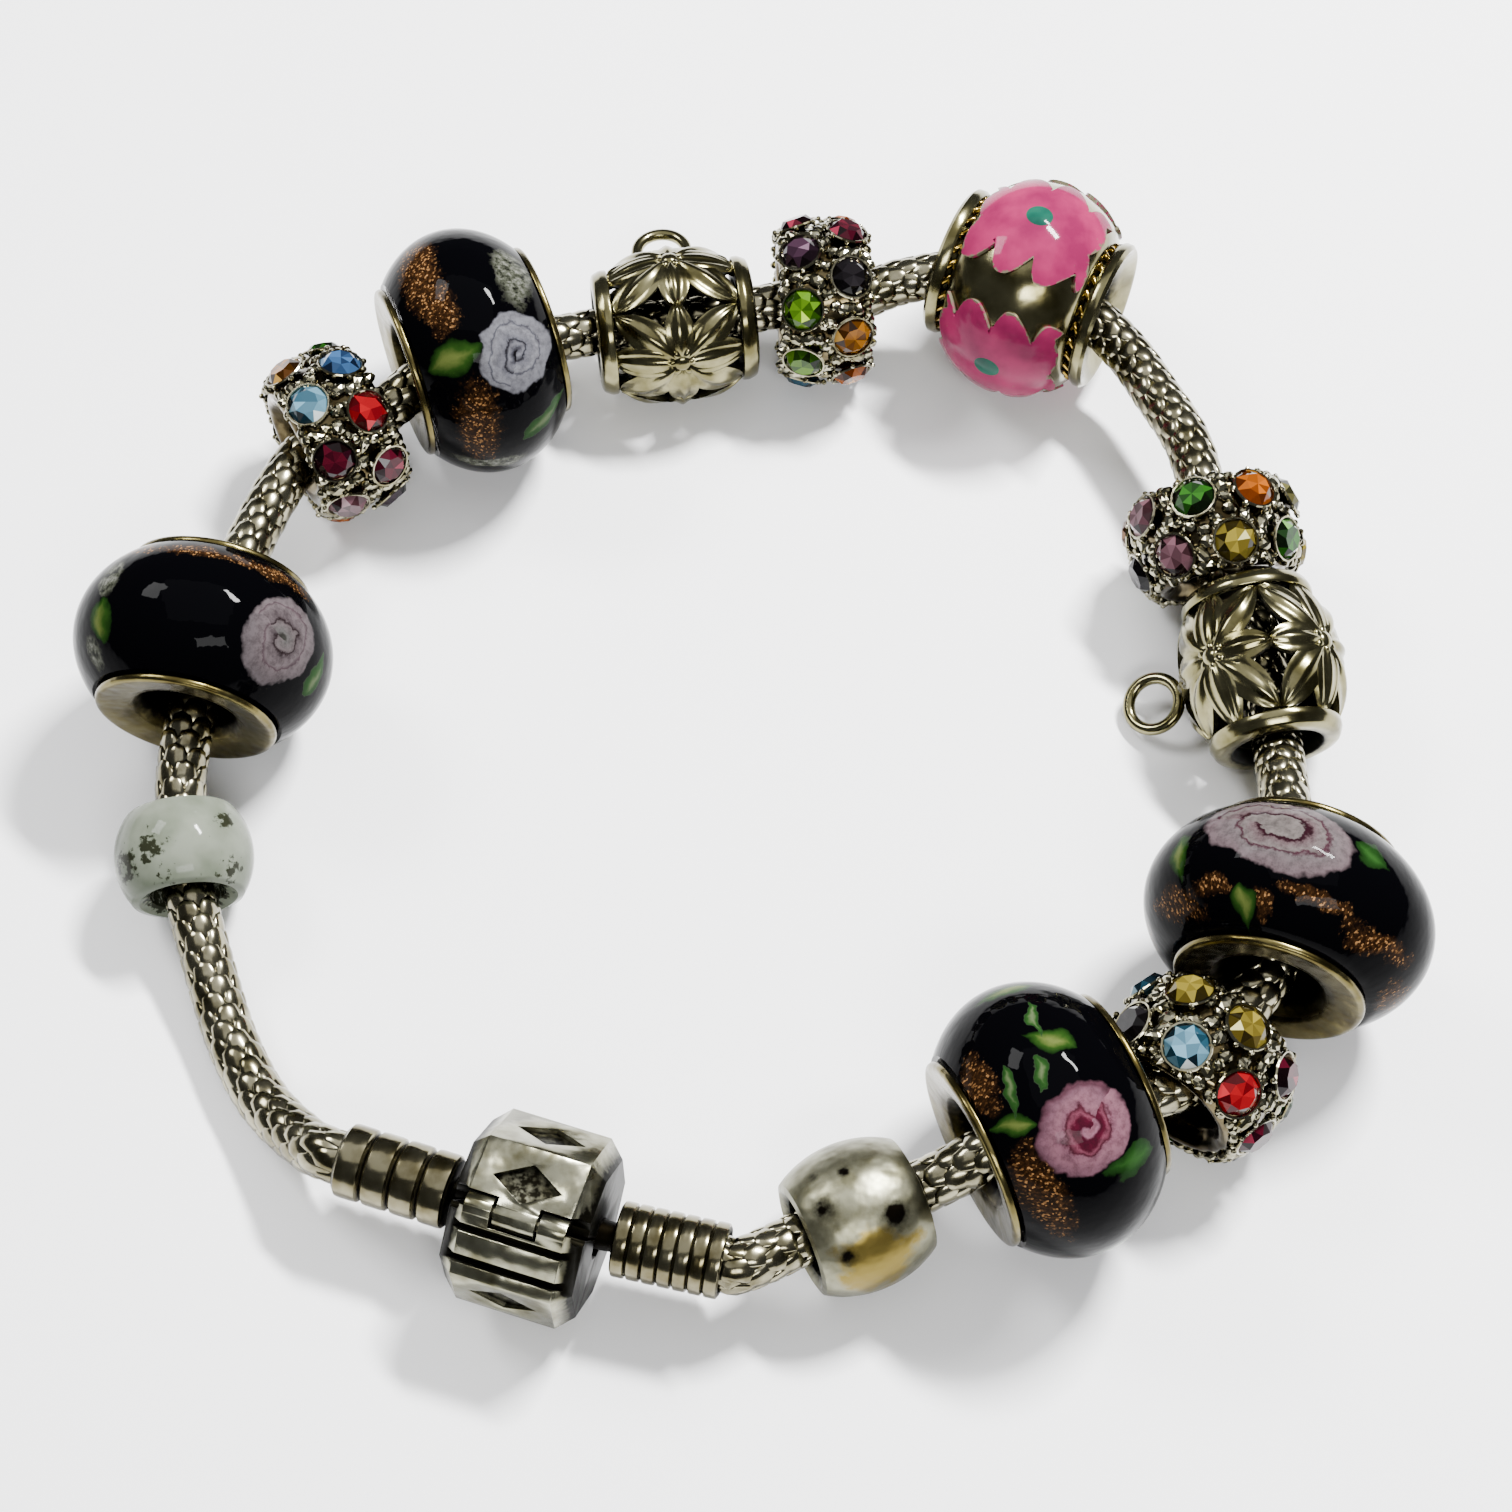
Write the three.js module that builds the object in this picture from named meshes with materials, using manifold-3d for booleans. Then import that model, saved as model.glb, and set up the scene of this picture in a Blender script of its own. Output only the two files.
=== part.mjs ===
import * as THREE from 'three';
import { mergeVertices } from 'three/addons/utils/BufferGeometryUtils.js';
import Module from 'manifold-3d';

// Charm bracelet: a snake chain strung with glass, crystal, openwork, enamel, ceramic and plain
// beads, closed by a hinged barrel clasp, lying as a loop on a flat surface. Millimetres, +Z up.

const wasm = await Module();
wasm.setup();

// Fits shared by all pieces
const FIT_GAP = 0.12;
const HINGE_GAP = 0.18;
const HINGE_PLAY = 0.08;

// Snake chain
const CHAIN_RADIUS = 1.36;
const CHAIN_SIDES = 10;
const LINK_PITCH = 2.1;
const SCALE_DEPTH = 0.17;
const HIDDEN_STEP = 3.6;
const HIDDEN_MARGIN = 0.8;
const THREADED_SHARE = 0.6;
const SOCKET_DEPTH = 3.2;
const SOCKET_LEAD = 0.8;

// Barrel clasp, an octagonal box in two halves
const CLASP_LENGTH = 6.9;
const CLASP_HEIGHT = 9.0;
const CLASP_CHAMFER = 0.85;
const CLASP_CAVITY_RADIUS = 3.1;
const CLASP_END_WALL = 1.1;
const CLASP_SPLIT_GAP = 0.15;
const CLASP_RECESS_DEPTH = 0.3;
const CLASP_RECESS_LENGTH = 3.6;
const CLASP_RECESS_WIDTH = 2.1;
const CLASP_FACES = 8;
const BAND_GROOVE_DEPTH = 0.4;
const BAND_GROOVE_WIDTH = 0.45;
const BAND_RIB_WIDTH = 1.2;
const NECK_RADIUS = 0.75;
const NECK_CLEARANCE = 0.35;
const STUD_RADIUS = 1.9;
const STUD_THICKNESS = 1.4;
const STUD_FACE_RADIUS = 1.5;
const STUD_NECK_LEAD = 0.3;
const KNUCKLE_RADIUS = 0.72;
const HINGE_PIN_RADIUS = 0.34;
const LID_KNUCKLE_LENGTH = 2.1;
const HINGE_ANGLE = 67.5;
const ROUND_SIDES = 12;
const NECK_SIDES = 10;

// End collars, the sleeves that grip the two ends of the chain
const COLLAR_RADIUS = 1.9;
const COLLAR_GROOVE = 0.18;
const COLLAR_SIDES = 10;
const COLLAR_MOUTH = 1.6;
const COLLAR_MOUTH_LEAD = 0.1;
const LEFT_COLLAR_LENGTH = 6.0;
const LEFT_COLLAR_BANDS = 4;
const LEFT_COLLAR_FLAT = 0.5;
const LEFT_COLLAR_STANDOFF = 0.75;
const RIGHT_COLLAR_LENGTH = 5.5;
const RIGHT_COLLAR_BANDS = 7;
const RIGHT_COLLAR_FLAT = 0;
const RIGHT_COLLAR_STANDOFF = 0.85;
const RIGHT_COLLAR_HEADING = -13;

// Glass beads and their metal cores
const GLASS_SIDES = 16;
const GLASS_LENGTH = 7.7;
const GLASS_END_RADIUS = 5.15;
const CORE_SIDES = 12;
const CORE_BORE = 2.5;
const CORE_WALL = 0.42;
const CAP_RADIUS = 4.95;
const CAP_THICKNESS = 0.5;
const CAP_MOUTH = 3.15;
const CAP_DISH = 0.3;
const CAP_LIP = 0.3;

// Crystal rondelles
const RONDELLE_SIDES = 16;
const RONDELLE_RADIUS = 5.1;
const RONDELLE_LENGTH = 5.4;
const RONDELLE_BORE = 2.4;
const RONDELLE_MOUTH = 3.0;
const RONDELLE_LEAD = 0.8;
const RONDELLE_RIM_RADIUS = 3.5;
const RONDELLE_RIM_WIDTH = 0.5;
const RONDELLE_BODY_RADIUS = 4.25;
const STONES_PER_ROW = 8;
const STONE_SIDES = 8;
const STONE_RADIUS = 1.3;
const STONE_TABLE_RADIUS = 0.72;
const STONE_CROWN = 0.95;
const STONE_DEPTH = 1.6;
const STONE_ROW_OFFSET = 1.3;
const STONE_TILT = 16;

// Openwork beads
const OPENWORK_SIDES = 12;
const OPENWORK_RADIUS = 4.9;
const OPENWORK_LENGTH = 9.4;
const OPENWORK_WALL = 0.8;
const OPENWORK_RIM_RADIUS = 3.55;
const OPENWORK_RIM_WIDTH = 0.75;
const OPENWORK_RIM_DROP = 0.1;
const OPENWORK_BORE = 2.3;
const OPENWORK_MOUTH = 2.5;
const OPENWORK_THROAT = 0.2;
const WINDOW_WIDTH = 4.6;
const WINDOW_HEIGHT = 2.9;
const WINDOW_SILL = 0.55;
const WINDOW_OUTLINE = [[-1 / 2, 0.1], [0, 0], [1 / 2, 0.1], [1 / 4, 0.63], [0, 1], [-1 / 4, 0.63]];
const FLOWER_RADIUS = 0.85;
const FLOWER_TOP_RADIUS = 0.51;
const FLOWER_RISE = 0.2;
const FLOWER_SIDES = 6;
const RING_RADIUS = 1.5;
const RING_WIRE = 0.35;
const RING_SIDES = 5;
const RING_STEPS = 12;

// Enamelled bead
const ENAMEL_SIDES = 12;
const ENAMEL_RADIUS = 6.3;
const ENAMEL_LENGTH = 10.1;
const ENAMEL_BORE = 2.2;
const ENAMEL_MOUTH = 2.7;
const ENAMEL_LEAD = 0.5;
const ENAMEL_FLANGE_RADIUS = 4.35;
const ENAMEL_FLANGE_WIDTH = 0.8;
const ENAMEL_FLANGE_DISH = 0.6;
const ENAMEL_NECK_RADIUS = 3.6;
const ENAMEL_SHOULDER_RADIUS = 4.7;
const ENAMEL_SHOULDER = 3.7;
const ENAMEL_STEP = 0.35;
const ENAMEL_INLAY = 0.55;
const ENAMEL_PANELS = 4;
const PANEL_WIDTH = 7.2;
const PANEL_LENGTH = 6.5;
const PANEL_END_WIDTH = 6.0;
const PANEL_NOTCH = 0.7;
const DOT_SIDES = 8;
const DOT_RADIUS = 1.1;
const DOT_TOP_RADIUS = 0.66;
const DOT_RISE = 0.25;
const DOT_EDGE = 0.08;

// Small round beads
const SMALL_SIDES = 12;
const CERAMIC_RADIUS = 3.7;
const CERAMIC_LENGTH = 4.9;
const CERAMIC_BORE = 2.0;
const SILVER_RADIUS = 3.8;
const SILVER_LENGTH = 6.2;
const SILVER_BORE = 2.1;
const SMALL_SHOULDER_RADIUS = 2.95;
const SMALL_END_RADIUS = 2.5;
const SMALL_EDGE = 0.1;
const SMALL_LEAD = 0.3;

const rad = THREE.MathUtils.degToRad;

// The beads along the string: place on the surface, heading of the bore, its rise towards that
// heading, the roll of its pattern and the place of its ring, all in degrees.
const glass = { length: GLASS_LENGTH, bore: CORE_BORE };
const crystal = { length: RONDELLE_LENGTH, bore: RONDELLE_BORE };
const openwork = { length: OPENWORK_LENGTH, bore: OPENWORK_BORE };
const enamel = { length: ENAMEL_LENGTH, bore: ENAMEL_BORE };
const ceramic = { length: CERAMIC_LENGTH, bore: CERAMIC_BORE, radius: CERAMIC_RADIUS };
const plain = { length: SILVER_LENGTH, bore: SILVER_BORE, radius: SILVER_RADIUS };
const BEADS = {
  clasp: { x: -11.04, y: -29.11, heading: 162 },
  ceramic_bead: { ...ceramic, x: -30.63, y: -8.4, heading: 100, rise: 8 },
  glass_bead_1: { ...glass, x: -30.1, y: 2.7, heading: 81, rise: 6, radius: 7.05 },
  crystal_rondelle_1: { ...crystal, x: -24.35, y: 18.7, heading: 30, roll: 36 },
  glass_bead_2: { ...glass, x: -16.43, y: 23.0, heading: 22, radius: 7.15 },
  openwork_bead_1: { ...openwork, x: -4.85, y: 26.85, heading: 8, roll: 112, ring: 97 },
  crystal_rondelle_2: { ...crystal, x: 4.0, y: 28.4, heading: 3, roll: 0 },
  enamel_bead: { ...enamel, x: 16.22, y: 28.15, heading: -26, roll: 0 },
  crystal_rondelle_3: { ...crystal, x: 25.9, y: 11.2, heading: -80, rise: -18, roll: 22 },
  openwork_bead_2: { ...openwork, x: 27.9, y: 2.8, heading: -82, rise: -9, roll: -139, ring: -120 },
  glass_bead_3: { ...glass, x: 27.35, y: -14.0, heading: -109, radius: 7.5 },
  crystal_rondelle_4: { ...crystal, x: 22.45, y: -21.2, heading: -129, roll: 18 },
  glass_bead_4: { ...glass, x: 14.45, y: -24.9, heading: -155, rise: -3, radius: 7.05 },
  silver_bead: { ...plain, x: 5.05, y: -28.76, heading: -156 },
};

// The chain's route from the left collar round to the right one: the beads it runs through, and
// the few points where it lies free. In a bore it rides low (-1), central (0) or high (1), and to
// the right (-1) or left (1) of the middle.
const ROUTE = [
  { x: -22.9, y: -24.6, z: 3.3 },
  { x: -25.2, y: -22.1, z: 1.9 },
  { x: -26.85, y: -19.5, z: 1.6 },
  { x: -28.3, y: -16.2, z: 1.8 },
  { bead: 'ceramic_bead', ride: 0 },
  { x: -31.0, y: -3.6, z: 5.0 },
  { bead: 'glass_bead_1', ride: -0.8 },
  { x: -28.2, y: 11.2, z: 5.9 },
  { x: -26.75, y: 15.2, z: 5.7 },
  { bead: 'crystal_rondelle_1', ride: 0.5, side: -0.7 },
  { bead: 'glass_bead_2', ride: -0.8 },
  { x: -10.6, y: 25.4, z: 5.6 },
  { bead: 'openwork_bead_1', ride: 0.5 },
  { bead: 'crystal_rondelle_2', ride: 0 },
  { x: 9.0, y: 29.6, z: 5.5 },
  { bead: 'enamel_bead', ride: -0.5 },
  { x: 21.6, y: 24.4, z: 5.6 },
  { x: 23.3, y: 21.2, z: 5.5 },
  { x: 24.9, y: 17.4, z: 5.6 },
  { bead: 'crystal_rondelle_3', ride: -0.3 },
  { bead: 'openwork_bead_2', ride: 0.3 },
  { x: 28.3, y: -5.2, z: 5.4 },
  { bead: 'glass_bead_3', ride: -0.8 },
  { bead: 'crystal_rondelle_4', ride: 0.9 },
  { bead: 'glass_bead_4', ride: -0.6 },
  { x: 9.4, y: -27.1, z: 5.0 },
  { bead: 'silver_bead', ride: 0.5 },
];

const silver = { color: 0xc9c6b6, metalness: 1, roughness: 0.22 };
const finishes = {
  chain: { color: 0xb9b59f, metalness: 1, roughness: 0.3 },
  silver,
  collar: { color: 0xb5a985, metalness: 1, roughness: 0.25 },
  clasp: { color: 0x97958c, metalness: 1, roughness: 0.32 },
  pin: { color: 0xd4d2c8, metalness: 1, roughness: 0.2 },
  glass: { color: 0x0c0b0d, metalness: 0, roughness: 0.08 },
  cap: { color: 0x9a9274, metalness: 1, roughness: 0.3 },
  crystal: { color: 0xc7c2ae, metalness: 1, roughness: 0.18 },
  openwork: { color: 0xa9a691, metalness: 1, roughness: 0.28 },
  pink: { color: 0xd9608c, metalness: 0, roughness: 0.15 },
  teal: { color: 0x2f8068, metalness: 0, roughness: 0.12 },
  ceramic: { color: 0xcdd3c4, metalness: 0, roughness: 0.12 },
};

const group = new THREE.Group();

// Solids and back: a boolean works on a mesh with merged corners and no empty triangles.
function solid(geometry) {
  const bare = geometry.clone();
  bare.deleteAttribute('normal');
  bare.deleteAttribute('uv');
  const merged = mergeVertices(bare, 1e-5);
  const corners = merged.index.array;
  const kept = [];
  for (let i = 0; i < corners.length; i += 3) {
    const [a, b, c] = [corners[i], corners[i + 1], corners[i + 2]];
    if (a !== b && b !== c && c !== a) kept.push(a, b, c);
  }
  return new wasm.Manifold(new wasm.Mesh({
    numProp: 3,
    vertProperties: new Float32Array(merged.attributes.position.array),
    triVerts: new Uint32Array(kept),
  }));
}

function geometryOf(body) {
  const mesh = body.getMesh();
  const geometry = new THREE.BufferGeometry();
  geometry.setAttribute('position', new THREE.BufferAttribute(mesh.vertProperties, 3));
  geometry.setIndex(new THREE.BufferAttribute(mesh.triVerts, 1));
  geometry.computeVertexNormals();
  return geometry;
}

// A turned shape about the local X axis. Each profile point is [distance along, radius]; the
// outline runs forward along the outside and back along the bore.
function turned(profile, sides) {
  const points = profile.map(([along, radius]) => new THREE.Vector2(radius, along));
  return new THREE.LatheGeometry(points, sides).rotateZ(-Math.PI / 2);
}

const closed = (profile) => [...profile, profile[0]];

// Half an outline mirrored to a whole one: the rows run from the middle to the far end.
function mirrored(half) {
  const near = half.filter(([along]) => along > 0).map(([along, radius]) => [-along, radius]);
  return [...near.reverse(), ...half];
}

// Points of an elliptical belly from the middle to the given reach along the bore.
function belly(radius, endRadius, reach, steps) {
  const stretch = reach / Math.sqrt(1 - (endRadius / radius) ** 2);
  return Array.from({ length: steps + 1 }, (_, i) => {
    const along = (reach * i) / steps;
    return [along, radius * Math.sqrt(1 - (along / stretch) ** 2)];
  });
}

// A bore with its mouths opened out, from the far end back to the near one.
function bore(radius, mouth, length, lead) {
  const half = length / 2;
  return [[half, mouth], [half - lead, radius], [lead - half, radius], [-half, mouth]];
}

// Turns a shape that stands on the local X axis to point outwards at an angle round that axis,
// measured from straight up towards the left of the heading.
function outward(geometry, angle, along, lift) {
  return geometry
    .rotateY(-Math.PI / 2)
    .translate(0, 0, lift)
    .applyMatrix4(new THREE.Matrix4().makeRotationX(-rad(angle)))
    .translate(along, 0, 0);
}

function add(name, geometry, finish, parent) {
  const mesh = new THREE.Mesh(geometry, new THREE.MeshStandardMaterial(finish));
  mesh.name = name;
  parent.add(mesh);
}

// A bead's own frame: X along its bore, Z up.
const places = {};
function beadGroup(name) {
  const { x, y, heading, rise = 0 } = BEADS[name];
  const place = new THREE.Group();
  place.position.set(x, y, 0);
  place.rotation.set(0, -rad(rise), rad(heading), 'ZYX');
  group.add(place);
  places[name] = place;
  return place;
}

// Lowers or lifts what a group holds until it stands on the surface.
function settle(place) {
  place.position.z -= new THREE.Box3().setFromObject(place, true).min.z;
  place.updateMatrixWorld();
}

// Glass bead: a glass ring on a metal core whose two caps fold over the ends of the glass.
function glassBead(name) {
  const place = beadGroup(name);
  const throat = CORE_BORE + CORE_WALL;
  const half = GLASS_LENGTH / 2;
  const outside = mirrored(belly(BEADS[name].radius, GLASS_END_RADIUS, half, 3));
  const ring = [...outside, [half, throat + FIT_GAP], [-half, throat + FIT_GAP]];
  add(name, turned(closed(ring), GLASS_SIDES), finishes.glass, place);

  const seat = half + FIT_GAP;
  const face = seat + CAP_THICKNESS;
  const cap = mirrored([[seat, throat], [seat, CAP_RADIUS], [face, CAP_RADIUS - CAP_LIP],
    [face - CAP_DISH, CAP_MOUTH]]);
  const core = [...cap, [seat - CAP_THICKNESS, CORE_BORE], [CAP_THICKNESS - seat, CORE_BORE]];
  const turn = Math.PI / CORE_SIDES;
  add(`${name}_core`, turned(closed(core), CORE_SIDES).rotateX(turn), finishes.cap, place);
}

// Crystal rondelle: a pierced drum with two staggered rows of cut stones fused to it. The stones of
// each row lean towards their own end.
function crystalRondelle(name) {
  const place = beadGroup(name);
  const half = RONDELLE_LENGTH / 2;
  const outside = mirrored([[half - RONDELLE_RIM_WIDTH, RONDELLE_BODY_RADIUS], [half, RONDELLE_RIM_RADIUS]]);
  const hole = bore(RONDELLE_BORE, RONDELLE_MOUTH, RONDELLE_LENGTH, RONDELLE_LEAD);
  const lift = RONDELLE_RADIUS - STONE_TABLE_RADIUS * Math.sin(rad(STONE_TILT))
    - STONE_CROWN * Math.cos(rad(STONE_TILT));
  let body = solid(turned(closed([...outside, ...hole]), RONDELLE_SIDES).rotateX(-rad(BEADS[name].roll)));
  for (const row of [0, 1]) {
    for (let k = 0; k < STONES_PER_ROW; k += 1) {
      const side = row * 2 - 1;
      const cut = [[STONE_CROWN - STONE_DEPTH, 0], [0, STONE_RADIUS], [STONE_CROWN, STONE_TABLE_RADIUS],
        [STONE_CROWN, 0]];
      const stone = turned(cut, STONE_SIDES).rotateY(rad(STONE_TILT) * side);
      const angle = BEADS[name].roll + (360 / STONES_PER_ROW) * (k + row / 2);
      body = body.add(solid(outward(stone, angle, side * STONE_ROW_OFFSET, lift)));
    }
  }
  add(name, geometryOf(body), finishes.crystal, place);
}

// Openwork bead: a hollow barrel of leaves. Eight curved triangles are cut through it, four
// flower centres stand at mid length, and a ring for a drop is soldered between them.
function openworkBead(name) {
  const place = beadGroup(name);
  const { roll, ring: ringAngle } = BEADS[name];
  const half = OPENWORK_LENGTH / 2;
  const reach = half - OPENWORK_RIM_WIDTH;
  const crown = OPENWORK_RADIUS - FLOWER_RISE;
  const skin = belly(crown, OPENWORK_RIM_RADIUS, reach, 2);
  const outside = mirrored([...skin, [half, OPENWORK_RIM_RADIUS - OPENWORK_RIM_DROP],
    [half, OPENWORK_MOUTH]]);
  const inside = mirrored([[0, crown - OPENWORK_WALL],
    [reach - OPENWORK_THROAT, OPENWORK_RIM_RADIUS - OPENWORK_WALL], [reach, OPENWORK_BORE]]).reverse();
  let body = solid(turned(closed([...outside, ...inside]), OPENWORK_SIDES));

  const window = new THREE.Shape(WINDOW_OUTLINE.map(([across, along]) => (
    new THREE.Vector2(across * WINDOW_WIDTH, WINDOW_SILL + along * WINDOW_HEIGHT))));
  for (const side of [0, 180]) {
    for (let k = 0; k < 4; k += 1) {
      const cutter = new THREE.ExtrudeGeometry(window, { depth: OPENWORK_RADIUS, bevelEnabled: false });
      cutter.rotateZ(-Math.PI / 2 + rad(side)).translate(0, 0, OPENWORK_BORE);
      cutter.applyMatrix4(new THREE.Matrix4().makeRotationX(-rad(roll + 45 + 90 * k)));
      body = body.subtract(solid(cutter));
    }
  }
  for (let k = 0; k < 4; k += 1) {
    const boss = turned([[-OPENWORK_WALL / 2, 0], [-OPENWORK_WALL / 2, FLOWER_RADIUS], [0, FLOWER_RADIUS],
      [FLOWER_RISE, FLOWER_TOP_RADIUS], [FLOWER_RISE, 0]], FLOWER_SIDES);
    body = body.add(solid(outward(boss, roll + 90 * k, 0, crown)));
  }
  const ring = new THREE.TorusGeometry(RING_RADIUS, RING_WIRE, RING_SIDES, RING_STEPS);
  ring.rotateX(rad(90)).translate(0, 0, OPENWORK_RADIUS + RING_RADIUS);
  ring.applyMatrix4(new THREE.Matrix4().makeRotationX(-rad(ringAngle)));
  body = body.add(solid(ring));
  add(name, geometryOf(body), finishes.openwork, place);
}

// Enamelled bead: a flanged metal barrel with inlaid panels whose edges are notched like flames,
// each with a raised dot.
function panelShape(margin) {
  const width = PANEL_WIDTH / 2 - margin;
  const end = PANEL_END_WIDTH / 2 - margin;
  const length = PANEL_LENGTH / 2 - margin;
  const notched = length - PANEL_NOTCH;
  const waist = width - PANEL_NOTCH;
  return new THREE.Shape([[-length, -waist], [-length / 3, -width], [length / 3, -waist], [length, -end],
    [notched, 0], [length, waist], [length / 3, width], [-length / 3, waist], [-length, end], [-notched, 0]]
    .map(([along, across]) => new THREE.Vector2(along, across)));
}

function enamelBead() {
  const name = 'enamel_bead';
  const place = beadGroup(name);
  const half = ENAMEL_LENGTH / 2;
  const skin = belly(ENAMEL_RADIUS, ENAMEL_SHOULDER_RADIUS, ENAMEL_SHOULDER, 2);
  const outside = mirrored([...skin, [ENAMEL_SHOULDER + ENAMEL_STEP, ENAMEL_NECK_RADIUS],
    [half - ENAMEL_FLANGE_WIDTH, ENAMEL_FLANGE_RADIUS], [half, ENAMEL_FLANGE_RADIUS]]);
  const hole = bore(ENAMEL_BORE, ENAMEL_MOUTH, ENAMEL_LENGTH - 2 * ENAMEL_FLANGE_DISH, ENAMEL_LEAD);
  let body = solid(turned(closed([...outside, ...hole]), ENAMEL_SIDES));

  const layer = (lift, floor) => solid(turned(closed([
    ...mirrored(skin.map(([along, radius]) => [along, radius + lift])),
    ...mirrored(skin.map(([along, radius]) => [along, radius - floor])).reverse(),
  ]), ENAMEL_SIDES));
  const prism = (margin, angle) => {
    const depth = ENAMEL_RADIUS;
    const cutter = new THREE.ExtrudeGeometry(panelShape(margin), { depth, bevelEnabled: false });
    return solid(cutter.translate(0, 0, 1).applyMatrix4(new THREE.Matrix4().makeRotationX(-rad(angle))));
  };
  const foot = FIT_GAP - ENAMEL_INLAY;
  const dot = (angle) => solid(outward(turned([[foot, 0], [foot, DOT_RADIUS], [DOT_EDGE, DOT_RADIUS],
    [DOT_RISE, DOT_TOP_RADIUS], [DOT_RISE, 0]], DOT_SIDES), angle, 0, ENAMEL_RADIUS));
  const above = layer(1, ENAMEL_INLAY);
  const inlay = layer(0, ENAMEL_INLAY - FIT_GAP);
  for (let k = 0; k < ENAMEL_PANELS; k += 1) {
    const angle = BEADS[name].roll + (360 / ENAMEL_PANELS) * k;
    body = body.subtract(prism(0, angle).intersect(above));
    const eye = DOT_RADIUS + FIT_GAP;
    const drill = turned([[-1, 0], [-1, eye], [1, eye], [1, 0]], DOT_SIDES);
    const hollow = solid(outward(drill, angle, 0, ENAMEL_RADIUS));
    const panel = prism(FIT_GAP, angle).intersect(inlay).subtract(hollow);
    add(`enamel_panel_${k + 1}`, geometryOf(panel), finishes.pink, place);
    add(`enamel_dot_${k + 1}`, geometryOf(dot(angle)), finishes.teal, place);
  }
  add('enamel_bead_body', geometryOf(body), finishes.silver, place);
}

// Small plain bead: a squat barrel with a bore.
function plainBead(name, finish) {
  const place = beadGroup(name);
  const { radius, length, bore: hole } = BEADS[name];
  const outside = mirrored([...belly(radius, SMALL_SHOULDER_RADIUS, length / 2 - SMALL_EDGE, 3),
    [length / 2, SMALL_END_RADIUS]]);
  const inside = [[length / 2 - SMALL_LEAD, hole], [SMALL_LEAD - length / 2, hole]];
  add(name, turned(closed([...outside, ...inside]), SMALL_SIDES), finish, place);
}

// Banded outside of a collar from its near end to its far end: a band is flat over some share of
// its width and falls to a groove on both sides.
function bands(count, start, length, flat) {
  const pitch = length / count;
  const crests = flat > 0 ? [(1 - flat) / 2, (1 + flat) / 2] : [1 / 2];
  const rows = Array.from({ length: count }, (_, i) => [
    [start + i * pitch, COLLAR_RADIUS - COLLAR_GROOVE],
    ...crests.map((share) => [start + (i + share) * pitch, COLLAR_RADIUS]),
  ]);
  return [...rows.flat(), [start + length, COLLAR_RADIUS - COLLAR_GROOVE]];
}

// The socket in a collar's far end that grips the chain, from its mouth to its floor.
function socket(far) {
  return [[far, COLLAR_MOUTH], [far - COLLAR_MOUTH_LEAD, SOCKET], [far - SOCKET_DEPTH, SOCKET]];
}

// Clasp: two half shells meeting on a plane through the hinge, which lies along one upper edge.
// X runs along the barrel towards the left collar.
const HALF = CLASP_LENGTH / 2;
const CORNER_RADIUS = CLASP_HEIGHT / 2 / Math.cos(Math.PI / CLASP_FACES);
const HINGE_DISTANCE = CORNER_RADIUS - KNUCKLE_RADIUS;
const SOCKET = CHAIN_RADIUS + FIT_GAP;

// Degrees round the barrel from its front horizontal, up over the top.
function round(angle) {
  return new THREE.Matrix4().makeRotationX(rad(angle));
}

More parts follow.
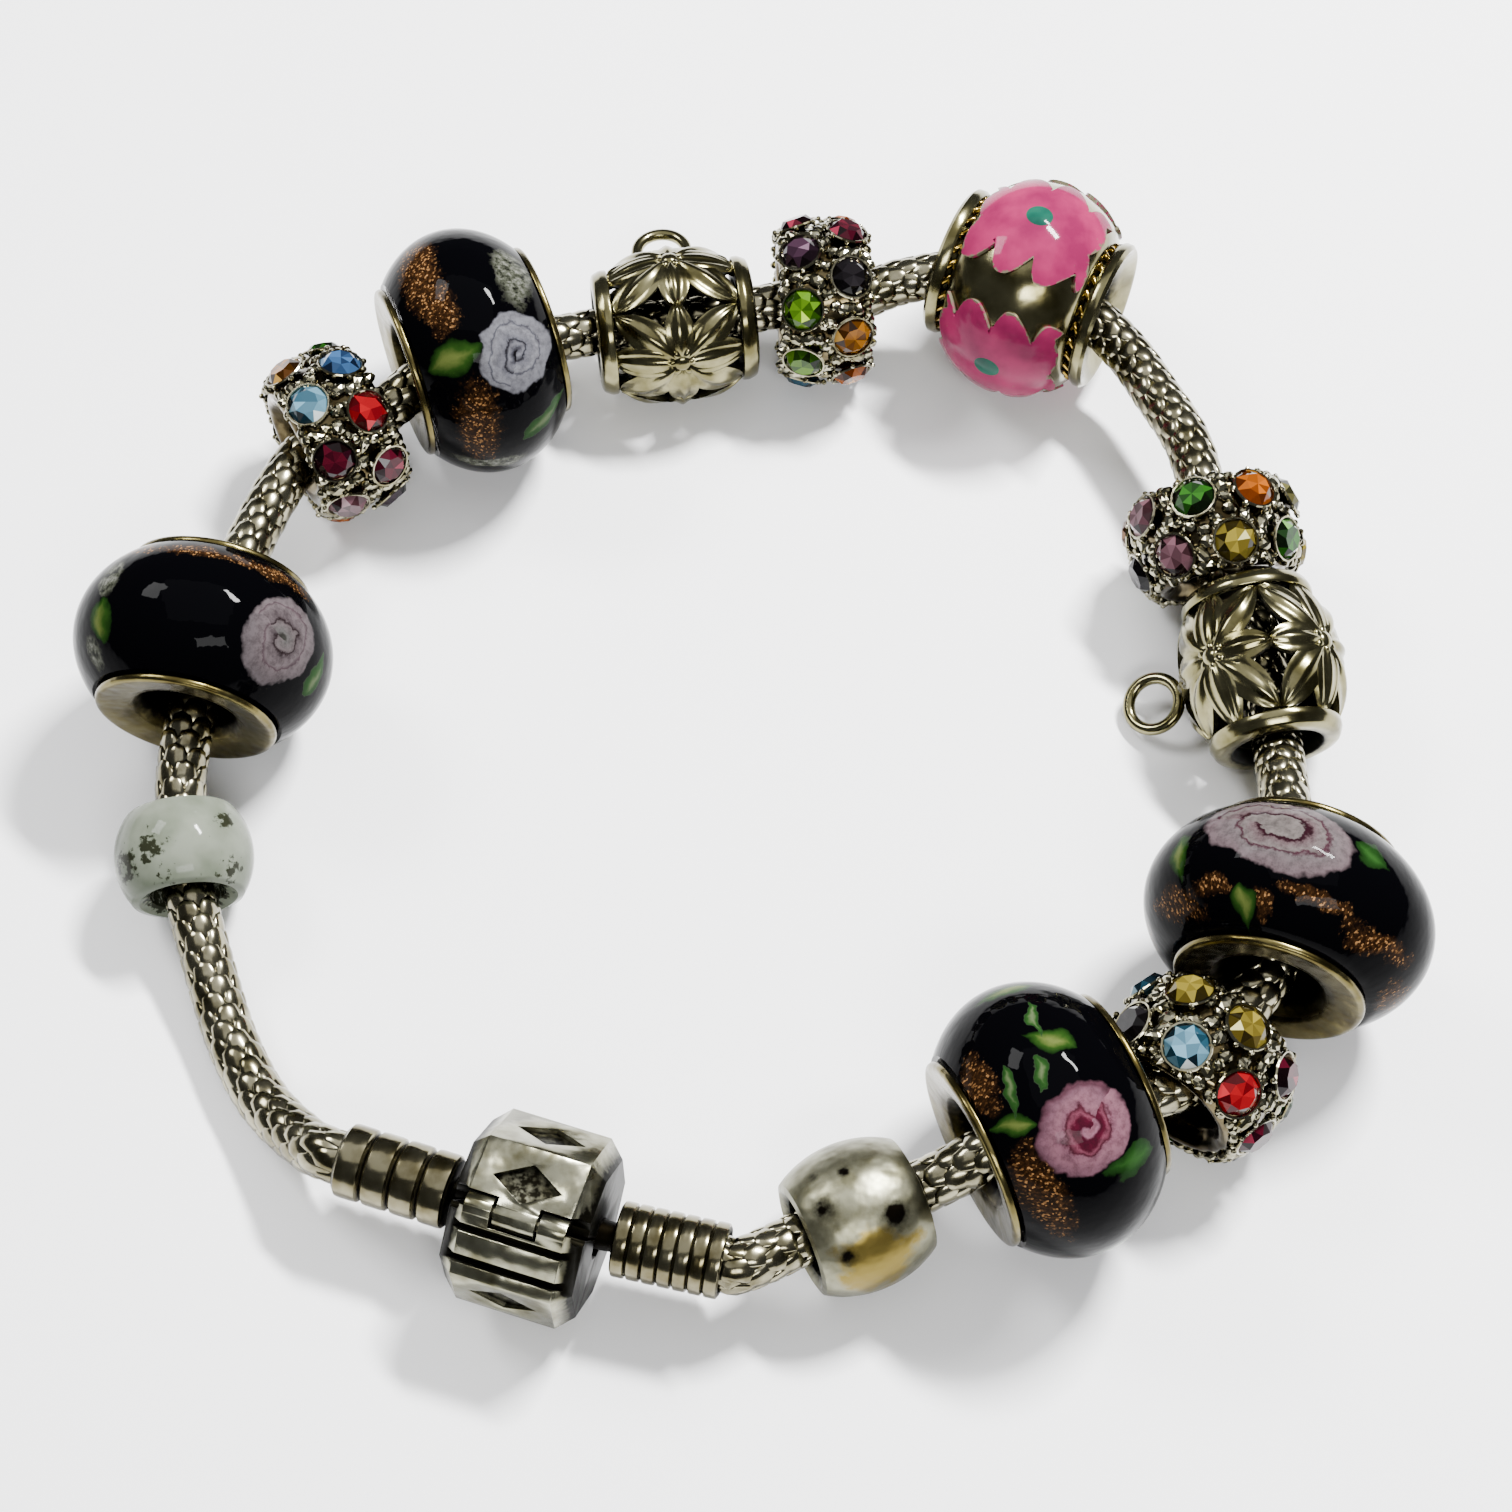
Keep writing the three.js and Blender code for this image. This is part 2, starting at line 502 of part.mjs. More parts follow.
function clasp() {
  const place = beadGroup('clasp');
  const shell = solid(turned([[-HALF, 0], [-HALF, CORNER_RADIUS - CLASP_CHAMFER],
    [CLASP_CHAMFER - HALF, CORNER_RADIUS], [HALF - CLASP_CHAMFER, CORNER_RADIUS],
    [HALF, CORNER_RADIUS - CLASP_CHAMFER], [HALF, 0]], CLASP_FACES).rotateX(Math.PI / CLASP_FACES));
  const inner = HALF - CLASP_END_WALL;
  const cavity = solid(turned([[-inner, 0], [-inner, CLASP_CAVITY_RADIUS], [inner, CLASP_CAVITY_RADIUS],
    [inner, 0]], ROUND_SIDES));
  const neck = solid(turned([[-HALF - 1, 0], [-HALF - 1, NECK_RADIUS + NECK_CLEARANCE],
    [0, NECK_RADIUS + NECK_CLEARANCE], [0, 0]], NECK_SIDES));
  let barrel = shell.subtract(cavity).subtract(neck);
  for (const face of [0, 90, 135, 180]) {
    const outline = new THREE.Shape();
    outline.moveTo(-CLASP_RECESS_LENGTH / 2, 0);
    outline.lineTo(0, -CLASP_RECESS_WIDTH / 2);
    outline.lineTo(CLASP_RECESS_LENGTH / 2, 0);
    outline.lineTo(0, CLASP_RECESS_WIDTH / 2);
    const cutter = new THREE.ExtrudeGeometry(outline, { depth: 1, bevelEnabled: false })
      .translate(0, 0, CLASP_HEIGHT / 2 - CLASP_RECESS_DEPTH).rotateX(-Math.PI / 2);
    barrel = barrel.subtract(solid(cutter.applyMatrix4(round(face))));
  }

  // The face under the hinge is ribbed from end to end: a groove beside the knuckles, a rib, and a
  // second groove.
  const knuckleEdge = HINGE_DISTANCE * Math.sin(Math.PI / CLASP_FACES) - KNUCKLE_RADIUS;
  for (const edge of [knuckleEdge, knuckleEdge - BAND_GROOVE_WIDTH - BAND_RIB_WIDTH]) {
    const groove = new THREE.BoxGeometry(2 * CLASP_LENGTH, BAND_GROOVE_WIDTH, 2 * BAND_GROOVE_DEPTH);
    groove.translate(0, BAND_GROOVE_WIDTH / 2 - edge, CLASP_HEIGHT / 2).rotateX(-Math.PI / 2);
    barrel = barrel.subtract(solid(groove.applyMatrix4(round(HINGE_ANGLE - 180 / CLASP_FACES))));
  }

  const halfSpace = (sign) => {
    const box = new THREE.BoxGeometry(4 * HALF, 4 * HALF, 4 * HALF);
    box.translate(0, 0, sign * (2 * HALF + CLASP_SPLIT_GAP / 2));
    return solid(box.applyMatrix4(round(HINGE_ANGLE)));
  };
  const rod = (radius, from, to) => {
    const geometry = turned([[from, 0], [from, radius], [to, radius], [to, 0]], ROUND_SIDES);
    return solid(geometry.translate(0, HINGE_DISTANCE, 0).applyMatrix4(round(HINGE_ANGLE)));
  };
  const end = HALF - CLASP_CHAMFER;
  const mid = LID_KNUCKLE_LENGTH / 2;
  const pinHole = rod(HINGE_PIN_RADIUS + HINGE_PLAY, -end - 1, end + 1);
  const clear = KNUCKLE_RADIUS + HINGE_GAP;

  let lid = barrel.intersect(halfSpace(1));
  let base = barrel.intersect(halfSpace(-1));
  for (const side of [-1, 1]) {
    const [near, far] = side > 0 ? [mid, HALF + 1] : [-HALF - 1, -mid];
    const [start, stop] = side > 0 ? [mid + HINGE_GAP, end] : [-end, -mid - HINGE_GAP];
    lid = lid.subtract(rod(clear, near, far));
    base = base.add(rod(KNUCKLE_RADIUS, start, stop));
  }
  base = base.subtract(rod(clear, -mid - HINGE_GAP, mid + HINGE_GAP)).subtract(pinHole);
  lid = lid.add(rod(KNUCKLE_RADIUS, -mid, mid)).subtract(pinHole);

  // The post that carries the left collar is soldered to the base's end wall.
  const postEnd = HALF + LEFT_COLLAR_STANDOFF + LEFT_COLLAR_LENGTH - SOCKET_DEPTH - FIT_GAP;
  const post = solid(turned([[inner, 0], [inner, NECK_RADIUS], [postEnd, NECK_RADIUS], [postEnd, 0]],
    NECK_SIDES));
  const notch = solid(turned([[inner - 1, 0], [inner - 1, NECK_RADIUS + NECK_CLEARANCE],
    [HALF + 1, NECK_RADIUS + NECK_CLEARANCE], [HALF + 1, 0]], NECK_SIDES));
  lid = lid.subtract(notch);
  base = base.add(post);
  add('clasp_base', geometryOf(base), finishes.clasp, place);
  add('clasp_lid', geometryOf(lid), finishes.clasp, place);
  add('clasp_pin', geometryOf(rod(HINGE_PIN_RADIUS, -end, end)), finishes.pin, place);

  const near = HALF + LEFT_COLLAR_STANDOFF;
  const far = near + LEFT_COLLAR_LENGTH;
  const left = [...bands(LEFT_COLLAR_BANDS, near, LEFT_COLLAR_LENGTH, LEFT_COLLAR_FLAT), ...socket(far),
    [far - SOCKET_DEPTH, NECK_RADIUS + FIT_GAP], [near, NECK_RADIUS + FIT_GAP]];
  add('end_collar_left', turned(closed(left), COLLAR_SIDES), finishes.collar, place);
  return place;
}

// Right collar: a sleeve with a headed stud that the closed clasp traps. It hangs on the stud's
// head, so it may swing a little away from the barrel's own line.
function rightCollar(claspPlace) {
  const place = new THREE.Group();
  const pivot = new THREE.Vector3(-HALF + CLASP_END_WALL + STUD_THICKNESS, 0, 0);
  place.position.copy(claspPlace.localToWorld(pivot));
  place.rotation.z = rad(RIGHT_COLLAR_HEADING);
  group.add(place);
  const head = STUD_THICKNESS / 2;
  const near = STUD_THICKNESS + CLASP_END_WALL + RIGHT_COLLAR_STANDOFF;
  const far = near + RIGHT_COLLAR_LENGTH;
  const profile = [[0, 0], [0, STUD_FACE_RADIUS], [head / 2, STUD_RADIUS], [head, STUD_RADIUS],
    [STUD_THICKNESS - STUD_NECK_LEAD, NECK_RADIUS], [near, NECK_RADIUS],
    ...bands(RIGHT_COLLAR_BANDS, near, RIGHT_COLLAR_LENGTH, RIGHT_COLLAR_FLAT), ...socket(far),
    [far - SOCKET_DEPTH, 0]];
  add('end_collar_right', turned(profile, COLLAR_SIDES), finishes.collar, place);
  return { place, far };
}

// Chain: a faceted tube whose corners stand in and out by turns, like rows of scales. Stretches
// hidden inside a bead have wider steps.
class StationedPath extends THREE.Curve {
  constructor(path, stations) {
    super();
    this.path = path;
    this.stations = stations;
  }

  stationAt(u) {
    return this.stations[Math.round(u * (this.stations.length - 1))];
  }

  getPointAt(u, target) {
    return this.path.getPointAt(this.stationAt(u), target);
  }

  getTangentAt(u, target) {
    return this.path.getTangentAt(this.stationAt(u), target);
  }
}

function snakeChain(path, hidden) {
  const length = path.getLength();
  const stations = [0];
  let at = 0;
  while (at < length) {
    const point = path.getPointAt(at / length);
    const inside = hidden.some(({ centre, reach }) => centre.distanceTo(point) < reach);
    at = Math.min(at + (inside ? HIDDEN_STEP : LINK_PITCH / 2), length);
    stations.push(at / length);
  }
  const route = new StationedPath(path, stations);
  const steps = stations.length - 1;
  const section = new THREE.Shape(Array.from({ length: CHAIN_SIDES }, (_, i) => {
    const angle = (2 * Math.PI * i) / CHAIN_SIDES;
    return new THREE.Vector2(CHAIN_RADIUS * Math.cos(angle), CHAIN_RADIUS * Math.sin(angle));
  }));
  const geometry = new THREE.ExtrudeGeometry(section, { steps, bevelEnabled: false, extrudePath: route });
  const frames = route.computeFrenetFrames(steps, false);
  const centres = route.getSpacedPoints(steps);
  const position = geometry.attributes.position;
  const corner = new THREE.Vector3();
  for (let i = 0; i < position.count; i += 1) {
    corner.fromBufferAttribute(position, i);
    let ring = 0;
    for (let k = 1; k <= steps; k += 1) {
      if (corner.distanceToSquared(centres[k]) < corner.distanceToSquared(centres[ring])) ring = k;
    }
    const spoke = corner.clone().sub(centres[ring]);
    const angle = Math.atan2(spoke.dot(frames.binormals[ring]), spoke.dot(frames.normals[ring]));
    const side = Math.round((angle * CHAIN_SIDES) / (2 * Math.PI)) + CHAIN_SIDES;
    const low = (side + ring) % 2 === 1;
    spoke.setLength(low ? CHAIN_RADIUS - SCALE_DEPTH : CHAIN_RADIUS);
    corner.copy(centres[ring]).add(spoke);
    position.setXYZ(i, corner.x, corner.y, corner.z);
  }
  add('snake_chain', geometry, finishes.chain, group);
}

for (const name of Object.keys(BEADS)) {
  if (/^glass_bead_\d$/.test(name)) glassBead(name);
  if (name.startsWith('crystal_rondelle')) crystalRondelle(name);
  if (name.startsWith('openwork_bead')) openworkBead(name);
}
enamelBead();
plainBead('ceramic_bead', finishes.ceramic);
plainBead('silver_bead', finishes.silver);
const claspPlace = clasp();
for (const place of Object.values(places)) settle(place);
const right = rightCollar(claspPlace);
right.place.updateMatrixWorld();

// The chain passes through each bore and ends inside the two collars.
const leftMouth = HALF + LEFT_COLLAR_STANDOFF + LEFT_COLLAR_LENGTH;
const inLeft = (along) => claspPlace.localToWorld(new THREE.Vector3(along, 0, 0));
const inRight = (along) => right.place.localToWorld(new THREE.Vector3(along, 0, 0));
const points = ROUTE.flatMap((row) => {
  if (!row.bead) return [new THREE.Vector3(row.x, row.y, row.z)];
  const { length, bore: hole } = BEADS[row.bead];
  const reach = (THREADED_SHARE * length) / 2;
  const play = hole - CHAIN_RADIUS - FIT_GAP;
  return [-reach, reach].map((along) => (
    places[row.bead].localToWorld(new THREE.Vector3(along, (row.side ?? 0) * play, row.ride * play))));
});
const path = new THREE.CatmullRomCurve3([
  ...[FIT_GAP - SOCKET_DEPTH, -SOCKET_LEAD / 2, SOCKET_LEAD].map((along) => inLeft(leftMouth + along)),
  ...points,
  ...[SOCKET_LEAD, -SOCKET_LEAD / 2, FIT_GAP - SOCKET_DEPTH].map((along) => inRight(right.far + along)),
], false, 'catmullrom', 0.5);
path.arcLengthDivisions = 2000;
snakeChain(path, ROUTE.filter((row) => row.bead).map((row) => ({
  centre: places[row.bead].position,
  reach: BEADS[row.bead].length / 2 - HIDDEN_MARGIN,
})));

// The origin is the middle of the loop's box, on the surface it lies on.
const box = new THREE.Box3().setFromObject(group, true);
const middle = box.getCenter(new THREE.Vector3());
group.position.set(-middle.x, -middle.y, -box.min.z);

export default group;
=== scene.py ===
# %% [markdown]
# A charm bracelet lies on a pale table as a closed loop: a snake chain strung with glass,
# crystal, openwork, enamel, ceramic and silver beads, and closed by a hinged barrel clasp.
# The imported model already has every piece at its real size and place, so this lesson only
# dresses it: each plain solid gives way to a finer piece in the same place.

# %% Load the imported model
import math
import random

import bpy
from mathutils import Matrix, Vector


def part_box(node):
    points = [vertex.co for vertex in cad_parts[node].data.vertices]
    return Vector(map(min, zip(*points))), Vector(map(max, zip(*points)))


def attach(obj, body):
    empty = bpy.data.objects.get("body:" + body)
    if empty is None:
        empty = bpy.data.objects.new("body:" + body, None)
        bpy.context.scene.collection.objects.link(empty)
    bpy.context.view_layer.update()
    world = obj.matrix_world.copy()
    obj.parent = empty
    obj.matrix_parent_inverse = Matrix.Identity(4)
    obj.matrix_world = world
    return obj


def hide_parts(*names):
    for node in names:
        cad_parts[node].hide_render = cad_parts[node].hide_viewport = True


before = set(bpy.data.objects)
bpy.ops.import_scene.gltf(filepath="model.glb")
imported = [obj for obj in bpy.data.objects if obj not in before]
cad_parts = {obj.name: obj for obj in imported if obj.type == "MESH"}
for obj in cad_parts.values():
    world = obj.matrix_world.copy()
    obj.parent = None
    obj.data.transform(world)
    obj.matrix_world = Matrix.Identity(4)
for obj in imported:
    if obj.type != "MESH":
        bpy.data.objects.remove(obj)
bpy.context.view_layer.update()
MM = 0.001
chance = random.Random(7)


# %% [markdown]
# Every bead has its own frame: X along its bore, Z up, and the pattern on it turned by a roll
# that is measured from straight up towards the left of the bore. Pieces are modelled in that
# frame, where they are simple turned shapes, and are then moved to their place on the loop.
# The object itself stays at the origin, so the place ends up in the mesh.

# %% Places of the beads along the loop, in millimetres and degrees
BEADS = {
    "clasp": dict(x=-11.04, y=-29.11, height=4.5, heading=162),
    "ceramic_bead": dict(x=-30.63, y=-8.4, height=3.7, heading=100, rise=8),
    "glass_bead_1": dict(x=-30.1, y=2.7, height=7.01, heading=81, rise=6, radius=7.05),
    "crystal_rondelle_1": dict(x=-24.35, y=18.7, height=5.06, heading=30, roll=36),
    "glass_bead_2": dict(x=-16.43, y=23.0, height=7.15, heading=22, radius=7.15),
    "openwork_bead_1": dict(x=-4.85, y=26.85, height=4.71, heading=8, roll=112, ring=97),
    "crystal_rondelle_2": dict(x=4.0, y=28.4, height=5.1, heading=3, roll=0),
    "enamel_bead": dict(x=16.22, y=28.15, height=6.55, heading=-26, roll=0),
    "crystal_rondelle_3": dict(x=25.9, y=11.2, height=5.17, heading=-80, rise=-18, roll=22),
    "openwork_bead_2": dict(x=27.9, y=2.8, height=4.66, heading=-82, rise=-9, roll=-139, ring=-120),
    "glass_bead_3": dict(x=27.35, y=-14.0, height=7.5, heading=-109, radius=7.5),
    "crystal_rondelle_4": dict(x=22.45, y=-21.2, height=5.08, heading=-129, roll=18),
    "glass_bead_4": dict(x=14.45, y=-24.9, height=7.04, heading=-155, rise=-3, radius=7.05),
    "silver_bead": dict(x=5.05, y=-28.76, height=3.8, heading=-156),
}
low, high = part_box("glass_bead_1")
first = BEADS["glass_bead_1"]
SHIFT = (low + high) / 2 / MM - Vector((first["x"], first["y"], first["height"]))
SHIFT.z = 0
print("the loop's middle is moved by", [round(v, 2) for v in SHIFT])


def moved(x, y, z):
    """A shift in millimetres."""
    return Matrix.Translation(Vector((x, y, z)) * MM)


def spun(degrees, axis):
    """A turn about one axis."""
    return Matrix.Rotation(math.radians(degrees), 4, axis)


def bead_matrix(bead):
    """From a bead's own frame to the bracelet's."""
    row = BEADS[bead]
    middle = Vector((row["x"], row["y"], row["height"])) + SHIFT
    return moved(*middle) @ spun(row["heading"], "Z") @ spun(-row.get("rise", 0), "Y")


def settle(piece, bead, material, slot, *nodes, body="bracelet"):
    """Moves a finished piece to its bead's place and hands it to the model."""
    piece.data.transform(bead_matrix(bead))
    hand_over(piece, material, slot, *nodes, body=body)


def hand_over(piece, material, slot, *nodes, body="bracelet"):
    """Gives a piece its material and its body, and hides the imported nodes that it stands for."""
    if material:
        piece.data.materials.clear()
        piece.data.materials.append(material)
    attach(piece, body)
    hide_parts(*nodes)


# %% [markdown]
# The photographer looks down at the loop at about 60 degrees from the table, from 16 cm away.
# The camera is set first, so that every later choice is judged from the right side. The lens
# follows from how large a millimetre appears at that distance.

# %% Camera
FRAME_SIDE = 1512
FOCAL_PIXELS = 2848
SENSOR = 36.0
CAMERA_DISTANCE = 160
CAMERA_ELEVATION = math.radians(60)
aim = SHIFT * MM
back = Vector((0, -math.cos(CAMERA_ELEVATION), math.sin(CAMERA_ELEVATION)))
lens = bpy.data.cameras.new("camera")
lens.sensor_width = SENSOR
lens.lens = SENSOR * FOCAL_PIXELS / FRAME_SIDE
lens.clip_start = 0.005
camera = bpy.data.objects.new("camera", lens)
camera.location = aim + back * CAMERA_DISTANCE * MM
camera.rotation_euler = (-back).to_track_quat("-Z", "Y").to_euler()
bpy.context.scene.collection.objects.link(camera)
bpy.context.scene.camera = camera
print("lens in mm:", round(lens.lens, 1))

# %% [markdown]
# Small polished metal shows what surrounds it, so jewellery is lit by a few bright soft panels
# with dark air between them: each panel gives one crisp glint on every bead, and the dark air
# keeps the black glass black. A wide dim panel overhead fills the shadows. The table is plain
# and pale.


# %% Table and lights
def linear(code):
    """A colour written as sRGB hex, turned to the linear values that shaders work in."""
    parts = [int(code[i:i + 2], 16) / 255 for i in (1, 3, 5)]
    return [v / 12.92 if v <= 0.04045 else ((v + 0.055) / 1.055) ** 2.4 for v in parts] + [1.0]


def panel(name, position, size, power, tint="#ffffff"):
    """A soft panel light that faces the middle of the loop. Millimetres and watts."""
    light = bpy.data.lights.new(name, "AREA")
    light.shape = "RECTANGLE"
    light.size, light.size_y = size[0] * MM, size[1] * MM
    light.energy = power
    light.color = linear(tint)[:3]
    lamp = bpy.data.objects.new(name, light)
    lamp.location = Vector(position) * MM + aim
    lamp.rotation_euler = (-Vector(position)).to_track_quat("-Z", "Y").to_euler()
    bpy.context.scene.collection.objects.link(lamp)


panel("key_panel", (130, 130, 290), (95, 26), 4.8)
panel("left_panel", (-200, 120, 260), (110, 80), 0.9)
panel("front_panel", (40, -230, 250), (170, 60), 0.8)
panel("fill_panel", (0, 60, 480), (520, 520), 1.05)
world = bpy.data.worlds.new("studio_air")
world.use_nodes = True
world.node_tree.nodes["Background"].inputs["Color"].default_value = linear("#9fa2a6")
world.node_tree.nodes["Background"].inputs["Strength"].default_value = 0.35
bpy.context.scene.world = world

bpy.ops.mesh.primitive_plane_add(size=1.6, location=(0, 0, 0))
table = bpy.context.object
table.name = "table"

# %% [markdown]
# Every material below is a small graph of nodes. One helper adds a node, sets its choices,
# fills its inputs and gives back one output: an input that is given a socket is linked, and
# any other is simply set. The helpers after it only name the kinds of node used most.


# %% Helpers for nodes
def feed(material, socket, value):
    """Links an input to another node's output, or sets a plain value on it."""
    if isinstance(value, bpy.types.NodeSocket):
        material.node_tree.links.new(value, socket)
    else:
        socket.default_value = value


def node(material, kind, inputs=None, out=0, **choices):
    made = material.node_tree.nodes.new("ShaderNode" + kind)
    for name, value in choices.items():
        setattr(made, name, value)
    for name, value in (inputs or {}).items():
        feed(material, made.inputs[name], value)
    return made.outputs[out]


def shade(material, **inputs):
    """Sets or links inputs of the material's own shader."""
    shader = material.node_tree.nodes["Principled BSDF"]
    for key, value in inputs.items():
        name = key.replace("_", " ").title().replace("Ior", "IOR")
        feed(material, shader.inputs[name], value)
    return material


def new_material(name, **uniform):
    material = bpy.data.materials.new(name)
    material.use_nodes = True
    return shade(material, **uniform)


def sum_of(material, operation, *values):
    return node(material, "Math", dict(enumerate(values)), operation=operation)


def attribute(material, name):
    return node(material, "Attribute", out="Fac", attribute_name=name)


def noise(material, where, scale, detail, out="Fac", roughness=0.5):
    return node(material, "TexNoise", {"Vector": where, "Scale": scale, "Detail": detail,
                                       "Roughness": roughness}, out)


def span(material, value, start, stop, low=0.0, high=1.0):
    """Stretches start to stop over low to high, and holds the value at both ends."""
    return node(material, "MapRange", {"Value": value, "From Min": start, "From Max": stop,
                                       "To Min": low, "To Max": high})


def lay(material, under, over, share):
    """One colour over another, as far as the share says."""
    return node(material, "Mix", {"Factor": share, 6: under, 7: over}, 2, data_type="RGBA")


def bump(material, height, strength, depth, **under):
    """A bump from a height, with its depth in millimetres."""
    return node(material, "Bump", {"Height": height, "Strength": strength,
                                   "Distance": depth * MM, **under})


def ramp(material, factor, stops):
    """A colour ramp over a factor; each stop is (place, hex colour)."""
    colour = node(material, "ValToRGB", {"Fac": factor})
    elements = colour.node.color_ramp.elements
    while len(elements) < len(stops):
        elements.new(0.5)
    for element, (place, code) in zip(elements, stops):
        element.position = place
        element.color = linear(code)
    return colour


# A matt laminate: nearly white, with the faintest cool cast.
laminate = new_material("pale_laminate", roughness=0.75)
mottle = noise(laminate, node(laminate, "TexCoord", out="Object"), 8.0, 2.0)
shade(laminate, base_color=ramp(laminate, mottle, [(0.3, "#f4f4f5"), (0.7, "#f6f6f7")]))
table.data.materials.append(laminate)

# %% [markdown]
# Sterling silver that is worn gets two looks at once: high places are rubbed bright, and low
# places keep a brown-black film of sulphide; the same dark colour also paints the shade that
# falls in grooves, gaps and bores. Film and painted shade are drawn where the mesh carries a
# high value of an attribute named recess, which each piece sets from its own shape. A slow noise
# moves the open metal between its bright and its yellowed tone, and a fine one gives hairline
# scratches a twentieth of a millimetre apart as a faint bump.

# %% Silver in its several states
BRASS = "#6f6130"
SPECK_MM = 0.3
HAIR_MM = 0.05
DENT_MM = 0.9


def worn_silver(name, bright, dull, film_and_shade, roughness, patch_mm, scratch=0.06, dent=0.05):
    metal = new_material(name, metallic=1.0)
    place = node(metal, "TexCoord", out="Object")
    patch = noise(metal, place, 1 / (patch_mm * MM), 4.0)
    tone = ramp(metal, patch, [(0.35, dull), (0.62, bright)])
    # Where the plate has worn through, the brass below it shows.
    ragged = sum_of(metal, "MULTIPLY_ADD", patch, 1.2, attribute(metal, "wear"))
    tone = lay(metal, tone, linear(BRASS), span(metal, ragged, 0.95, 1.15))
    # The dark film, here also painted shade, covers places with a high recess, broken by a speckle.
    speck = noise(metal, place, 1 / (SPECK_MM * MM), 2.0)
    edge = sum_of(metal, "MULTIPLY_ADD", speck, 0.5, attribute(metal, "recess"))
    depth = span(metal, edge, 0.45, 1.05)
    hairs = bump(metal, noise(metal, place, 1 / (HAIR_MM * MM), 1.0), scratch, 0.02)
    # Wear leaves shallow dents, which make every reflection wander.
    swell = noise(metal, place, 1 / (DENT_MM * MM), 1.0)
    return shade(metal, base_color=lay(metal, tone, linear(film_and_shade), depth),
                 roughness=span(metal, depth, 0.0, 1.0, roughness, 0.5),
                 normal=bump(metal, swell, 0.5, dent, Normal=hairs))


polished = worn_silver("polished_sterling", "#9a9680", "#6b674c", "#0f0d07", 0.1, 2.5)
satin = worn_silver("satin_bead_silver", "#7f7e6a", "#5c5a46", "#070503", 0.36, 1.3, 0.06, 0.14)
woven = worn_silver("woven_sterling", "#908b74", "#524d37", "#040302", 0.18, 1.5)
burnished = worn_silver("burnished_cap_silver", "#625a37", "#3d3519", "#0b0703", 0.24, 1.8,
                        dent=0.12)
rubbed = worn_silver("rubbed_clasp_silver", "#8b8a77", "#5f5c46", "#0b0a06", 0.24, 1.2, 0.12, 0.12)
banded_silver = worn_silver("collar_silver", "#79745d", "#534c33", "#080603", 0.17, 1.5)
leafwork = worn_silver("openwork_silver", "#807b5b", "#534e31", "#070602", 0.17, 2.0)
grained = worn_silver("setting_silver", "#99957f", "#625d45", "#0a0804", 0.13, 1.0)
oxidised = worn_silver("oxidised_drum_silver", "#5a513a", "#2b2313", "#060402", 0.15, 1.2,
                       dent=0.15)
gilt = worn_silver("gilded_rope", "#a88b3f", "#6f581f", "#150e04", 0.16, 1.0)
print("materials so far:", len(bpy.data.materials))

# %% [markdown]
# Pieces are shaped with Blender's own tools at the origin, copied with their own mesh, and
# joined. A place on a bead's side is said by how far round it is, how far along the bore, and
# how far out.


# %% Helpers for pieces
def pick(*pieces):
    """Selects these pieces alone, the first one active, for the tools that ask for it."""
    bpy.ops.object.select_all(action="DESELECT")
    for piece in pieces:
        piece.select_set(True)
    bpy.context.view_layer.objects.active = pieces[0]


def shaped(kind, matrix=Matrix(), **sizes):
    """A primitive at the origin, moved inside its own mesh."""
    getattr(bpy.ops.mesh, f"primitive_{kind}_add")(**sizes)
    piece = bpy.context.object
    piece.data.transform(matrix)
    return piece


def copied(source, matrix, name):
    """A copy with its own mesh, moved inside that mesh."""
    piece = source.copy()
    piece.data = source.data.copy()
    piece.name = name
    piece.data.transform(matrix)
    bpy.context.scene.collection.objects.link(piece)
    return piece


def joined(pieces, name):
    pick(*pieces)
    bpy.ops.object.join()
    pieces[0].name = name
    return pieces[0]


def modified(piece, kind, **settings):
    """Adds a modifier and applies it at once."""
    pick(piece)
    step = piece.modifiers.new(kind.lower(), kind)
    for key, value in settings.items():
        setattr(step, key, value)
    bpy.ops.object.modifier_apply(modifier=step.name)
    return piece


def smooth(piece, degrees=180):
    """Smooth shading, but for edges where two faces meet at more than this angle."""
    pick(piece)
    bpy.ops.object.shade_smooth_by_angle(angle=math.radians(degrees))
    return piece


def stretched(x, y, z):
    return Matrix.Diagonal((x, y, z, 1))


def outward(angle, along, reach):
    """Matrix from the origin, Z outwards, to a place on a bead's side."""
    return moved(along, 0, 0) @ spun(-angle, "X") @ moved(0, 0, reach)


def beside(along, angle, radius):
    """A point on a bead's side, in millimetres, with its angle in radians."""
    return Vector((along, math.sin(angle) * radius, math.cos(angle) * radius))


def around(spot):
    """Distance of a point from the bore, in the unit it comes in."""
    return math.hypot(spot.y, spot.z)


def mark(piece, value_at, name="recess"):
    """Stores a number from 0 to 1 for each point, such as how deep in a groove it lies."""
    values = piece.data.attributes.new(name, "FLOAT", "POINT")
    for vertex, value in zip(piece.data.vertices, values.data):
        value.value = min(1.0, max(0.0, value_at(vertex.co / MM)))


def unroll(piece, radius):
    """A UV map in millimetres: U round the bore from straight up to the left, V along it."""
    while piece.data.uv_layers:
        piece.data.uv_layers.remove(piece.data.uv_layers[0])
    layer = piece.data.uv_layers.new(name="unrolled")
    for face in piece.data.polygons:
        base = math.atan2(face.center.y, face.center.z)
        for loop in face.loop_indices:
            spot = piece.data.vertices[piece.data.loops[loop].vertex_index].co
            swing = math.atan2(spot.y, spot.z) - base
            swing -= 2 * math.pi * round(swing / (2 * math.pi))
            layer.data[loop].uv = ((base + swing) * radius, spot.x / MM)


# %% [markdown]
# Most of these pieces are turned: glass rings, metal cores, collars and small beads. On a
# lathe one draws half the outline and spins it, and Blender's spin does the same. The outline
# starts as a circle primitive whose points are put in place, so it is closed from the start.
# Corners get a short curve, because a corner without one shows no bright edge.


